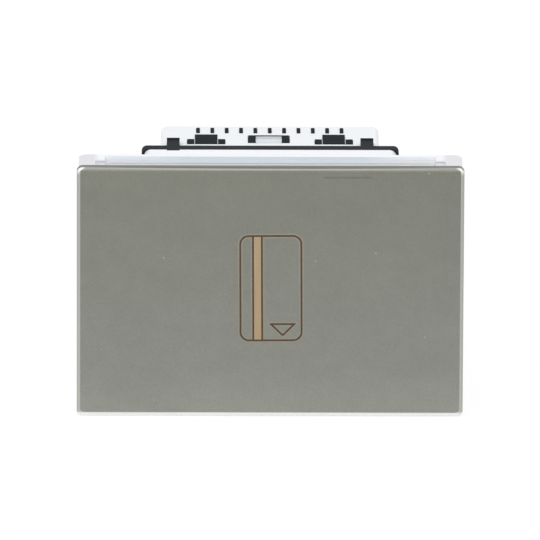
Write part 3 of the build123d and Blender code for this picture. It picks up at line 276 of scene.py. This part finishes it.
def cover_lacquer():
    """Champagne metallic lacquer: fine flakes, faint mottling, painted light on the face, a
    painted highlight along its rim and painted shade behind it.
    """
    new = Shader("cover_lacquer")
    x, y, z = new.axes()
    away = new.off(x)
    flakes = new.noise(0.16 * MM, 2.0, 0.7)
    mottle = new.noise(2.6 * MM, 4.0, 0.6)
    grain = new.noise(0.42 * MM, 2.0, 0.6)
    smudge = new.noise(14 * MM, 3.0, 0.5, (1, 1, 1.6))

    # The tone fades from a lighter bottom to a darker top as painted light, and gets a little
    # darker to the right
    fade = new.ramp(new.rise(z, -COVER_HALF_HEIGHT, COVER_HALF_HEIGHT),
                    *((height, linear(*tone)) for height, tone in FACE_LIGHT_TONES))
    level = new.spread(x, 1.03, 0.975, -COVER_HALF_WIDTH * MM, COVER_HALF_WIDTH * MM)
    for texture, part in ((mottle, 0.03), (grain, 0.05), (flakes, 0.08), (smudge, 0.03)):
        level = new.times(level, new.spread(texture, 1 - part, 1 + part, 0.3, 0.7))
    tone = new.scale(fade, level)

    # A few pale specks
    specks = new.cells(9 * MM, new.flat(x, z))
    chance = new.node("ShaderNodeSeparateColor")
    new.link(specks.outputs["Color"], chance.inputs[0])
    speck = new.times(new.spread(specks.outputs["Distance"], 1.0, 0.0, 0.008, 0.022),
                      new.spread(chance.outputs[0], 0.0, 0.7, 0.5, 1.0))
    tone = new.blend(speck, tone, linear(180, 180, 173))

    # Rim: outside a rounded rectangle the rounded edge gets a painted highlight. Its reach is 1
    # where the rim begins. The top's bright line rises a little towards the corners.
    bow = new.times(x, x, new.spread(z, 0.0, 0.14, 0.0, 5 * MM))
    lifted = new.math("SUBTRACT", z, bow)
    along = new.spread(away, 0.0, 2.0, *(place * MM for place in RIM_X))
    up = new.spread(new.off(lifted, RIM_MIDDLE_Z), 0.0, 2.0, *(place * MM for place in RIM_Z))
    reach = new.math("SQRT", new.math("ADD", new.times(along, along), new.times(up, up)))
    rim_highlight = new.times(new.spread(reach, 0.0, 1.0, 1.0, 1.18),
                    new.fall(y, RIM_BACK - 0.3, RIM_BACK))

    # The painted highlight is brightest along its inner side, towards the bottom and in the upper
    # corners
    rim_highlight_tone = new.blend(new.spread(flakes, 0.0, 1.0, 0.3, 0.7),
                         linear(176, 176, 169), linear(190, 190, 184))
    rim_highlight_tone = new.scale(rim_highlight_tone, new.times(
        new.spread(z, 1.06, 0.97, -21 * MM, 10 * MM),
        new.spread(away, 1.0, 0.86, *(place * MM for place in RIM_OUTER_X)),
    ))
    rim_highlight_tone = new.blend(new.rise(z, 20.9, 21.5), rim_highlight_tone, linear(160, 160, 152))
    rim_highlight_tone = new.blend(new.fall(z, -21.5, -21.2), rim_highlight_tone, linear(246, 246, 245))
    corner = new.math("MINIMUM", new.rise(away, 31.4, 32.3), new.rise(z, 20.8, 21.5))
    rim_highlight_tone = new.blend(corner, rim_highlight_tone, linear(240, 240, 236))
    painted = new.blend(rim_highlight, tone, rim_highlight_tone)

    # The top's edge and the sides behind the rim get painted shade: darker, duller lacquer
    crest = new.times(new.rise(lifted, 21.88, 22.0), new.fall(away, 32.2, 32.6))
    shaded_behind = new.math("MAXIMUM", new.rise(y, RIM_BACK - 0.2, RIM_BACK + 0.05), crest)
    painted = new.blend(shaded_behind, painted, linear(104, 105, 99))

    # One hairline scratch near the top
    scratch = new.times(new.fall(new.off(z, SCRATCH_Z), 0.1, 0.2),
                        new.fall(new.off(x, SCRATCH_X), SCRATCH_HALF - 1.0, SCRATCH_HALF), 0.6)
    sockets = new.main.inputs
    new.link(new.blend(scratch, painted, linear(98, 98, 90)), sockets["Base Color"])
    new.link(new.spread(shaded_behind, 0.35, 0.0), sockets["Metallic"])
    new.link(new.spread(shaded_behind, 0.5, 0.12), sockets["Specular IOR Level"])
    new.link(new.spread(flakes, 0.36, 0.5), sockets["Roughness"])
    new.link(new.spread(shaded_behind, 0.15, 0.0), sockets["Coat Weight"])
    sockets["Coat Roughness"].default_value = 0.25
    new.bump(flakes, 0.004 * MM, 0.5)
    return new


def pocket_plastic():
    """White plastic with painted bluish shade and painted light inside the slot, and greyer,
    faintly pink end blocks.
    """
    new = plastic("white_pocket", (0.84, 0.86, 0.89), 0.42, 0.02)
    x, y, z = new.axes()
    away = new.off(x)
    toned = new.blend(new.rise(away, *END_BLOCK_X), new.base(), (0.67, 0.672, 0.712))

    # Walls of the slot: painted shade, cooler, along their top edge and down in the slot
    notch = new.rise(away, SLOT_HALF, SLOT_HALF + 0.1)
    behind_front_wall = new.rise(y, SLOT_FRONT - 0.35, SLOT_FRONT)
    lower = new.math("MAXIMUM", new.fall(z, SLOT_MOUTH, SLOT_MOUTH + 0.13),
                     new.fall(away, SLOT_HALF, SLOT_HALF + 0.1))
    inner = new.times(behind_front_wall, new.fall(y, SLOT_BACK, SLOT_BACK + 0.07), lower)
    height = new.rise(z, SLOT_LOW, SLOT_HIGH)
    # Painted light makes them lighter towards both ends, most at the right
    lit = new.math("ADD", new.rise(x, 15.5, 23.5), new.spread(x, 0.7, 0.0, -25 * MM, -14 * MM))
    wall_light_and_shade = new.blend(lit, new.ramp(height, *SLOT_SHADE_TONES), new.ramp(height, *SLOT_END_LIGHT_TONES))
    tip = new.spread(away, 0.0, 0.8, (SLOT_HALF - 1.5) * MM, (SLOT_HALF - 0.3) * MM)
    wall_light_and_shade = new.blend(tip, wall_light_and_shade, new.ramp(height, *SLOT_TIP_LIGHT_TONES))
    wall_light_and_shade = new.blend(notch, wall_light_and_shade, new.ramp(height, *NOTCH_SHADE_TONES))

    # Painted shade makes the notches at the slot's ends look a little deeper than they are
    notch_shade = new.times(notch, new.fall(away, NOTCH_HALF - 0.1, NOTCH_HALF),
                      new.fall(y, NOTCH_BACK - 0.3, NOTCH_BACK), behind_front_wall)
    # None of this reaches the pocket's outer sides and its bottom
    inner = new.times(new.math("MAXIMUM", inner, notch_shade),
                      new.fall(away, POCKET_INNER_HALF - 0.2, POCKET_INNER_HALF),
                      new.rise(z, POCKET_INNER_FLOOR - 0.2, POCKET_INNER_FLOOR))
    new.link(new.blend(inner, toned, wall_light_and_shade), new.main.inputs["Base Color"])
    return new


def frame_plastic():
    """Dark grey plastic, dull; hairlines part the snap teeth from the pads beside them."""
    new = plastic("dark_frame", (0.026, 0.031, 0.034), 0.7, 0.12, 0.35 * MM, 0.012 * MM,
                  gloss=0.03)
    x, y, z = new.axes()
    away, height = new.off(x), new.off(z)

    # The teeth and the pads lie a shade darker than the flange and the arms
    shaded = new.times(new.rise(y, TEETH_FRONT, TEETH_FRONT + 0.1),
                       new.fall(away, TEETH_HALF, TEETH_HALF + 0.1), 0.85)
    toned = new.blend(shaded, new.base(), (0.0095, 0.013, 0.0155))

    # Hairlines beside each tooth, and the bevelled outer corners of its feet
    beside = new.off(away, TOOTH_X)
    hair = new.times(new.fall(new.off(beside, TOOTH_HALF), 0.05, 0.08),
                     new.fall(y, FOOT_BACK - 0.2, FOOT_BACK - 0.1), 0.55)
    past_corner = new.math("ADD", new.math("SUBTRACT", beside, (FOOT_HALF - 0.2) * MM),
                           new.math("SUBTRACT", y, (FOOT_BACK - 0.4) * MM))
    corner = new.times(new.rise(past_corner, 0.28, 0.36),
                       new.rise(beside, FOOT_HALF - 0.5, FOOT_HALF - 0.4))
    marks = new.times(new.math("MAXIMUM", hair, corner),
                      new.rise(y, FOOT_FRONT, FOOT_FRONT + 0.15),
                      new.fall(y, FOOT_BACK - 0.02, FOOT_BACK),
                      new.fall(beside, FOOT_HALF, FOOT_HALF + 0.05))

    # The bar behind each sprung catch is pale in front, under its dark top edge
    sill = new.times(new.fall(new.off(x, CATCH_X), CATCH_HALF - 0.05, CATCH_HALF),
                     new.fall(new.off(y, CATCH_BACK), 0.02, 0.04),
                     new.fall(height, FRAME_TOP - 0.01, FRAME_TOP + 0.02))
    pale = new.times(new.math("MAXIMUM", marks, sill),
                     new.rise(height, FRAME_TOP - 0.5, FRAME_TOP - 0.4))
    new.link(new.blend(pale, toned, (0.8, 0.83, 0.87)), new.main.inputs["Base Color"])
    return new


def housing_plastic():
    """White plastic; painted shade makes the sprung catches greyer, with fine streaks, and
    painted light makes the rounded ends whiter.
    """
    new = plastic("white_housing", (0.80, 0.82, 0.845), 0.42, 0.02)
    x, y, z = new.axes()
    # Painted light makes the rounded ends a shade whiter
    lit_ends = new.rise(new.off(x), HOUSING_HALF - 1.0, HOUSING_HALF - 0.3)
    toned = new.blend(lit_ends, new.base(), (0.90, 0.92, 0.93))
    # Painted shade makes the sprung catches greyer, with fine streaks
    catch = new.times(new.fall(new.off(x, CATCH_X), CATCH_HALF - 0.05, CATCH_HALF + 0.05),
                      new.rise(y, CATCH_FRONT, CATCH_FRONT + 0.2),
                      new.fall(y, CATCH_BACK - 0.1, CATCH_BACK),
                      new.rise(new.off(z), 19.0, 19.5))
    marks = new.noise(0.9 * MM, 2.0, 0.5, (0.05, 1, 0.05))
    catch_shade = new.ramp(marks, (0.35, (0.56, 0.60, 0.64)), (0.65, (0.72, 0.755, 0.79)))
    new.link(new.blend(catch, toned, catch_shade), new.main.inputs["Base Color"])
    return new


def amber_window():
    """Translucent tan light bar, a little warmer towards its lower end."""
    new = Shader("amber_window")
    colour = linear(174, 153, 120)
    streak = new.noise(0.5 * MM, 3.0, 0.5, (1, 1, 0.06))
    fine = new.noise(0.2 * MM, 2.0)
    tone = new.ramp(streak, (0.3, shade(colour, 0.93)), (0.7, shade(colour, 1.07)))
    warm = new.spread(new.axes()[2], 0.6, 0.0, -8 * MM, 9 * MM)
    new.link(new.blend(warm, tone, linear(176, 149, 116)), new.main.inputs["Base Color"])
    new.link(new.spread(fine, 0.3, 0.42), new.main.inputs["Roughness"])
    new.main.inputs["Subsurface Weight"].default_value = 0.15
    new.main.inputs["Subsurface Radius"].default_value = (0.0012, 0.0009, 0.0005)
    new.bump(fine, 0.003 * MM, 0.5)
    return new


def clear_pipe():
    new = Shader("clear_pipe")
    fine = new.noise(0.8 * MM, 2.0)
    new.link(new.ramp(fine, (0.2, (0.93, 0.95, 0.97)), (0.8, (1.0, 1.0, 1.0))),
             new.main.inputs["Base Color"])
    new.main.inputs["Transmission Weight"].default_value = 0.9
    new.main.inputs["IOR"].default_value = 1.58
    new.link(new.spread(fine, 0.04, 0.12), new.main.inputs["Roughness"])
    new.bump(fine, 0.002 * MM, 0.4)
    return new


def led_lens():
    new = Shader("led_lens")
    colour = (0.9, 0.5, 0.1)
    fine = new.noise(0.6 * MM, 2.0)
    new.link(new.ramp(fine, (0.3, shade(colour, 0.9)), (0.7, colour)),
             new.main.inputs["Base Color"])
    new.main.inputs["Transmission Weight"].default_value = 0.35
    new.link(new.spread(fine, 0.1, 0.2), new.main.inputs["Roughness"])
    new.bump(fine, 0.002 * MM, 0.4)
    return new


def board_laminate():
    """Solder mask over islands of copper, and bare laminate at the sawn edge."""
    new = Shader("board_laminate")
    x, y, z = new.axes()
    mask = (0.012, 0.11, 0.05)
    cloud = new.noise(3 * MM, 3.0)
    plane = new.flat(x, new.math("MULTIPLY", z, 0.7))
    reaches = []
    for feature in ("F1", "F2"):
        islands = new.cells(4.6 * MM, plane, feature=feature, distance="MANHATTAN")
        islands.inputs["Randomness"].default_value = 0.8
        reaches.append(islands.outputs["Distance"])
    track = new.spread(new.math("SUBTRACT", reaches[1], reaches[0]), 0.0, 1.0, 0.13, 0.16)
    tone = new.ramp(cloud, (0.3, shade(mask, 0.85)), (0.7, shade(mask, 1.15)))
    tracks = new.blend(track, tone, shade(mask, 1.9))
    inside = new.fall(new.off(y, BOARD_MIDDLE), BOARD_HALF - 0.06, BOARD_HALF)
    weave = new.noise(0.12 * MM, 2.0, 0.5, (1, 5, 1))
    laminate = new.ramp(weave, (0.3, (0.3, 0.3, 0.15)), (0.7, (0.42, 0.42, 0.25)))
    new.link(new.blend(inside, tracks, laminate), new.main.inputs["Base Color"])
    new.link(new.spread(cloud, 0.25, 0.4), new.main.inputs["Roughness"])
    new.bump(track, 0.03 * MM, 0.6)
    return new


def banded(name, colour, band, centres, half, axis=2, rough=0.4):
    """A moulded body with printed rings at the given places along one axis."""
    new = plastic(name, colour, rough, 0.06, 0.2 * MM, 0.004 * MM, 0.0)
    along = new.axes()[axis]
    rings = None
    for centre in centres:
        ring = new.fall(new.off(along, centre), half, half + 0.05)
        rings = ring if rings is None else new.math("MAXIMUM", rings, ring)
    new.link(new.blend(rings, new.base(), band), new.main.inputs["Base Color"])
    return new


def threaded(name, colour, pitch, end):
    """Zinc plated steel whose shank, in front of end, shows the crests of a thread."""
    new = metal(name, colour, 0.3)
    wave = new.node("ShaderNodeTexWave", wave_type="BANDS", bands_direction="Y")
    # At a scale of 1 the texture's bands are 2 pi / 20 metres apart
    wave.inputs["Scale"].default_value = 2 * math.pi / (20 * pitch * MM)
    new.link(new.place, wave.inputs["Vector"])
    shank = new.fall(new.axes()[1], end - 0.1, end)
    new.bump(new.math("MULTIPLY", wave.outputs["Fac"], shank), 0.25 * MM, 0.9)
    return new


materials = {
    "cover_lacquer": cover_lacquer(),
    "amber_window": amber_window(),
    "white_pocket": pocket_plastic(),
    "dark_frame": frame_plastic(),
    "white_housing": housing_plastic(),
    "lever_plastic": plastic("lever_plastic", (0.76, 0.75, 0.70), 0.38, 0.03),
    "steel": metal("steel", (0.62, 0.62, 0.62), 0.3, (1, 4, 4)),
    "spring_steel": metal("spring_steel", (0.48, 0.48, 0.49), 0.28, (3, 3, 1)),
    "clear_pipe": clear_pipe(),
    "led_lens": led_lens(),
    "board_laminate": board_laminate(),
    "switch_case": plastic("switch_case", (0.014, 0.014, 0.016), 0.45, 0.15),
    "plunger_plastic": plastic("plunger_plastic", (0.5, 0.03, 0.02), 0.35, 0.05),
    "tinned_brass": metal("tinned_brass", (0.62, 0.59, 0.5), 0.32, (1, 1, 4)),
    "relay_case": plastic("relay_case", (0.012, 0.014, 0.02), 0.3, 0.12, 0.4 * MM),
    "capacitor_yellow": plastic("capacitor_yellow", (0.62, 0.42, 0.03), 0.38, 0.05),
    "capacitor_sleeve": plastic("capacitor_sleeve", (0.01, 0.014, 0.04), 0.25, 0.1, 0.6 * MM),
    "varistor_lacquer": plastic("varistor_lacquer", (0.015, 0.07, 0.3), 0.22, 0.1, 0.9 * MM,
                                0.03 * MM),
    "resistor_lacquer": banded("resistor_lacquer", (0.1, 0.22, 0.15), (0.25, 0.1, 0.03),
                               (-3.6, -2.4, -0.2, 1.3), 0.22),
    "diode_epoxy": plastic("diode_epoxy", (0.008, 0.008, 0.008), 0.42, 0.2, 0.2 * MM),
    "terminal_plastic": plastic("terminal_plastic", (0.075, 0.085, 0.09), 0.5, 0.1, 0.3 * MM,
                                0.01 * MM),
    "cage_brass": metal("cage_brass", (0.72, 0.5, 0.2), 0.3, (1, 4, 4)),
}
slots = {part["node"]: part["material_slot"] for part in frame["record"]["subparts"]}
by_node = {
    "rectifier_diodes": banded("diode_banded", (0.008, 0.008, 0.008), (0.5, 0.5, 0.5),
                               (1.7, 10.1), 0.35, rough=0.42),
}
screw_steel = threaded("screw_steel", (0.62, 0.62, 0.6), 0.5, 21.35)
for index in (1, 2, 3, 4):
    by_node[f"terminal_screw_{index}"] = screw_steel
for name, node in nodes.items():
    chosen = by_node.get(name) or materials[slots[name]]
    node.data.materials.clear()
    node.data.materials.append(chosen.material)


# Pieces of the scene
def piece(name, mesh_code, shader, body="switch_body"):
    """A new object whose faces mesh_code draws, riding on a CAD body."""
    mesh = bpy.data.meshes.new(name)
    drawn = bmesh.new()
    mesh_code(drawn)
    bmesh.ops.recalc_face_normals(drawn, faces=drawn.faces)
    drawn.to_mesh(mesh)
    drawn.free()
    mesh.materials.append(shader.material)
    new = bpy.data.objects.new(name, mesh)
    bpy.context.scene.collection.objects.link(new)
    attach(new, body)
    return new


def band(drawn, inner, outer, front, back):
    """A closed flat band between two outlines of (x, z) in mm, from front to back in mm."""
    rings = []
    for y in (front, back):
        for outline in (inner, outer):
            rings.append([drawn.verts.new((x * MM, y * MM, z * MM)) for x, z in outline])
    count = len(inner)
    for k in range(count):
        n = (k + 1) % count
        front_in, front_out, back_in, back_out = rings
        for quad in (
            (front_in[k], front_in[n], front_out[n], front_out[k]),
            (back_in[k], back_out[k], back_out[n], back_in[n]),
            (front_out[k], front_out[n], back_out[n], back_out[k]),
            (front_in[k], back_in[k], back_in[n], front_in[n]),
        ):
            drawn.faces.new(quad)


def rounded_outline(centre_x, centre_z, width, height, radius, steps=10):
    points = []
    for quarter, (sx, sz) in enumerate(((1, 1), (-1, 1), (-1, -1), (1, -1))):
        for step in range(steps + 1):
            angle = math.pi / 2 * (quarter + step / steps)
            points.append((
                centre_x + sx * (width / 2 - radius) + radius * math.cos(angle),
                centre_z + sz * (height / 2 - radius) + radius * math.sin(angle),
            ))
    return points


def drawn_box(drawn, across, deep, up):
    """A box from three pairs of limits in mm."""
    (low_x, high_x), (front, back), (low_z, high_z) = across, deep, up
    corners = [
        drawn.verts.new((x * MM, y * MM, z * MM))
        for y in (front, back) for x, z in
        ((low_x, low_z), (high_x, low_z), (high_x, high_z), (low_x, high_z))
    ]
    for quad in (
        (0, 1, 2, 3), (7, 6, 5, 4), (0, 4, 5, 1), (1, 5, 6, 2), (2, 6, 7, 3), (3, 7, 4, 0)
    ):
        drawn.faces.new([corners[k] for k in quad])


# The pictogram of a card: an outline, the edges of its stripe and an arrow, as thin prints
PRINT = COVER_FRONT - 0.012
HALO_PRINT = COVER_FRONT - 0.005
LINE = 0.3
HALO = 0.86
ICON_X, ICON_Z, ICON_WIDTH, ICON_HEIGHT, ICON_RADIUS = 0.12, 0.82, 10.42, 18.53, 1.45
STRIPE_LEFT, STRIPE_RIGHT = -2.91, -1.4
ARROW_LEFT, ARROW_RIGHT, ARROW_TOP, ARROW_BOTTOM = 0.1, 4.1, -5.57, -7.56
ICON_LEAN = math.radians(-0.4)


def ink(name, dark, light):
    """Printed ink, a little uneven along its length."""
    new = Shader(name)
    patches = new.noise(0.3 * MM, 3.0)
    new.link(new.ramp(patches, (0.3, linear(*dark)), (0.7, linear(*light))),
             new.main.inputs["Base Color"])
    new.link(new.spread(patches, 0.4, 0.55), new.main.inputs["Roughness"])
    new.bump(patches, 0.002 * MM, 0.4)
    return new


def notched(points, depth):
    """The outline, with its top and bottom moved outwards by depth over the stripe."""
    quarter = len(points) // 4
    top, bottom = points[quarter][1], points[3 * quarter][1]
    nick = LINE / 10
    over = [(STRIPE_RIGHT + nick, top), (STRIPE_RIGHT, top + depth),
            (STRIPE_LEFT, top + depth), (STRIPE_LEFT - nick, top)]
    under = [(STRIPE_LEFT - nick, bottom), (STRIPE_LEFT, bottom - depth),
             (STRIPE_RIGHT, bottom - depth), (STRIPE_RIGHT + nick, bottom)]
    return points[:quarter] + over + points[quarter:3 * quarter] + under + points[3 * quarter:]


def draw_outline(drawn, width, front):
    inner = rounded_outline(ICON_X, ICON_Z, ICON_WIDTH - width, ICON_HEIGHT - width,
                            ICON_RADIUS - width / 2)
    outer = rounded_outline(ICON_X, ICON_Z, ICON_WIDTH + width, ICON_HEIGHT + width,
                            ICON_RADIUS + width / 2)
    band(drawn, notched(inner, (width - LINE) / 2), notched(outer, 0), front, COVER_FRONT)


def draw_stripe_edges(drawn, width, front):
    low = ICON_Z - ICON_HEIGHT / 2 + width / 2
    high = ICON_Z + ICON_HEIGHT / 2 - width / 2
    spare = (width - LINE) / 2
    for centre, left, right in ((STRIPE_LEFT, spare, 0), (STRIPE_RIGHT, 0, spare)):
        across = (centre - LINE / 2 - left, centre + LINE / 2 + right)
        drawn_box(drawn, across, (front, COVER_FRONT), (low, high))


def draw_arrow(drawn, width, front):
    left, top, bottom = ARROW_LEFT, ARROW_TOP, ARROW_BOTTOM
    middle = (left + ARROW_RIGHT) / 2
    slant = math.atan2(top - bottom, middle - left)
    tip = width / 2 / math.cos(slant)
    side = width / 2 * math.tan(math.pi / 2 - slant / 2)

    def blunt(far_side, high, low, cut):
        """The triangle with its corners cut off, as (x, z) points."""
        fall = (high - low) / (middle - far_side)
        clip_x = far_side + cut
        clip_z = high - cut * fall
        tip_z = low + cut
        tip_x = middle - cut / fall
        return [
            (clip_x, high), (clip_x, clip_z), (tip_x, tip_z), (2 * middle - tip_x, tip_z),
            (2 * middle - clip_x, clip_z), (2 * middle - clip_x, high),
        ]

    outer = blunt(left - side, top + width / 2, bottom - tip, LINE / 2)
    inner = blunt(left + side, top - width / 2, bottom + tip, LINE / 20)
    band(drawn, inner, outer, front, COVER_FRONT)


pale_edge = ink("pictogram_pale_edge", (137, 131, 117), (147, 140, 126))
dark_ink = ink("pictogram_ink", (58, 43, 26), (78, 62, 41))


def printed(code, width, front):
    """The mesh code of a print that leans by ICON_LEAN."""
    def draw(drawn):
        code(drawn, width, front)
        bmesh.ops.rotate(drawn, verts=drawn.verts, cent=(ICON_X * MM, 0, ICON_Z * MM),
                         matrix=Matrix.Rotation(ICON_LEAN, 3, "Y"))
    return draw


for name, code in (
    ("pictogram_outline", draw_outline),
    ("pictogram_stripe_edges", draw_stripe_edges),
    ("pictogram_arrow", draw_arrow),
):
    for ending, width, front, shader in (
        ("_line", LINE, PRINT, dark_ink), ("_pale_edge", HALO, HALO_PRINT, pale_edge)
    ):
        piece(name + ending, printed(code, width, front), shader)


ARM_LIP = ((-17.7, -15.5), (-2.95, -2.3), (21.6, 21.795))


def draw_lip(drawn):
    """A lip at the root of the frame's upper left arm, in front of the flange."""
    drawn_box(drawn, *ARM_LIP)


piece("frame_arm_lip", draw_lip, materials["dark_frame"])

# Solder joints on the front of the board, one over each pin and lead
solder = metal("solder", (0.66, 0.66, 0.67), 0.22, (1, 1, 1), 0.5 * MM, 0.01 * MM)
JOINTS = (
    [(x, -4.5, 0.75) for x in (-5.08, 0.0, 5.08)]
    + [(x, -9.0, 0.95) for x in (-11.25, -3.75, 3.75, 11.25)]
    + [(-13.2, 3.4, 0.95), (-13.2, 11.0, 0.95), (-8.2, 3.4, 0.95), (2.4, 3.4, 0.95),
       (2.4, 11.0, 0.95)]
)
SOLDER_HEIGHT = 0.42
SOLDER_RINGS, SOLDER_SIDES = 4, 16


def draw_solder(drawn):
    for x, z, radius in JOINTS:
        rings = []
        for step in range(SOLDER_RINGS):
            angle = math.pi / 2 * step / SOLDER_RINGS
            wide = radius * math.cos(angle) ** 1.6 * MM
            y = (BOARD_FRONT - SOLDER_HEIGHT * math.sin(angle)) * MM
            rings.append([
                drawn.verts.new((
                    x * MM + wide * math.cos(2 * math.pi * k / SOLDER_SIDES), y,
                    z * MM + wide * math.sin(2 * math.pi * k / SOLDER_SIDES),
                )) for k in range(SOLDER_SIDES)
            ])
        for low, high in zip(rings, rings[1:]):
            for k in range(SOLDER_SIDES):
                n = (k + 1) % SOLDER_SIDES
                drawn.faces.new((low[k], low[n], high[n], high[k]))
        drawn.faces.new(rings[-1])


solder_joints = piece("solder_joints", draw_solder, solder)
for face in solder_joints.data.polygons:
    face.use_smooth = True


def seen_directly(tree):
    """1 for rays from the camera or by way of metal and glass, otherwise 0."""
    rays = tree.nodes.new("ShaderNodeLightPath")
    seen = rays.outputs["Is Camera Ray"]
    for name in ("Is Glossy Ray", "Is Transmission Ray"):
        both = tree.nodes.new("ShaderNodeMath")
        both.operation = "ADD"
        both.use_clamp = True
        tree.links.new(seen, both.inputs[0])
        tree.links.new(rays.outputs[name], both.inputs[1])
        seen = both.outputs[0]
    return seen


# Floor: plain and pale, white to the camera but for the object's soft shadow
FLOOR_HALF = 6
FLOOR_Z = -0.02212
floor_mesh = bpy.data.meshes.new("floor")
floor_mesh.from_pydata(
    [(x * FLOOR_HALF, y * FLOOR_HALF, FLOOR_Z) for x, y in ((-1, -1), (1, -1), (1, 1), (-1, 1))],
    [], [(0, 1, 2, 3)],
)
floor = bpy.data.objects.new("floor", floor_mesh)
bpy.context.scene.collection.objects.link(floor)
floor_shader = Shader("floor_paper")
floor_noise = floor_shader.noise(40 * MM, 2.0)
floor_shader.link(floor_shader.ramp(floor_noise, (0.3, 0.84), (0.7, 0.86)),
                  floor_shader.main.inputs["Base Color"])
floor_shader.link(floor_shader.spread(floor_noise, 0.85, 0.95),
                  floor_shader.main.inputs["Roughness"])
glow = floor_shader.node("ShaderNodeEmission")
glow.inputs["Strength"].default_value = 1.03
mixed = floor_shader.node("ShaderNodeMixShader")
floor_shader.link(floor_shader.times(seen_directly(floor_shader.tree), 0.9), mixed.inputs[0])
floor_shader.link(floor_shader.main.outputs[0], mixed.inputs[1])
floor_shader.link(glow.outputs[0], mixed.inputs[2])
floor_shader.link(mixed.outputs[0], floor_shader.out.inputs["Surface"])
floor_mesh.materials.append(floor_shader.material)

# World: a pale sky, white where the camera, metal or glass sees it
world = bpy.data.worlds.new("studio")
bpy.context.scene.world = world
world.use_nodes = True
sky = world.node_tree
sky.nodes.clear()
sky_out = sky.nodes.new("ShaderNodeOutputWorld")
sky_light = sky.nodes.new("ShaderNodeBackground")
sky_light.inputs["Color"].default_value = (1.0, 1.0, 1.0, 1.0)
level = sky.nodes.new("ShaderNodeMapRange")
level.inputs["To Min"].default_value = 0.56
level.inputs["To Max"].default_value = 1.0
sky.links.new(seen_directly(sky), level.inputs["Value"])
sky.links.new(level.outputs[0], sky_light.inputs["Strength"])
sky.links.new(sky_light.outputs[0], sky_out.inputs["Surface"])


# Lamps: three wide and soft ones, from above, from the front and from behind
def lamp(name, place, size, power):
    data = bpy.data.lights.new(name, "AREA")
    data.shape = "DISK"
    data.size = size
    data.energy = power
    new = bpy.data.objects.new(name, data)
    new.location = place
    aim = Vector((0, 0, 0)) - Vector(place)
    new.rotation_euler = aim.to_track_quat("-Z", "Y").to_euler()
    bpy.context.scene.collection.objects.link(new)


lamp("key", (-0.35, -0.35, 0.9), 0.7, 3.0)
lamp("front", (0.1, -1.15, 0.72), 0.9, 4.6)
lamp("back", (0.15, 0.7, 0.6), 0.6, 1.4)

# Camera, at the photograph's angle and with its long lens
TARGET = Vector((-0.00005, -0.0152, 0.004053))
DISTANCE = 2.4
TILT = math.radians(16.2)
TURN = math.radians(-0.4)
ROLL = math.radians(0.25)
camera_data = bpy.data.cameras.new("camera")
camera_data.sensor_width = 36.0
camera_data.lens = 938.4
camera_data.clip_start = 0.1
camera_data.clip_end = 20.0
camera = bpy.data.objects.new("camera", camera_data)
camera.location = TARGET + DISTANCE * Vector((
    math.sin(TURN) * math.cos(TILT), -math.cos(TURN) * math.cos(TILT), math.sin(TILT)
))
camera.rotation_mode = "QUATERNION"
camera.rotation_quaternion = (
    Quaternion((0, 0, 1), TURN) @ Quaternion((1, 0, 0), math.pi / 2 - TILT)
    @ Quaternion((0, 0, 1), ROLL)
)
bpy.context.scene.collection.objects.link(camera)
bpy.context.scene.camera = camera
bpy.context.scene.view_settings.view_transform = "Standard"
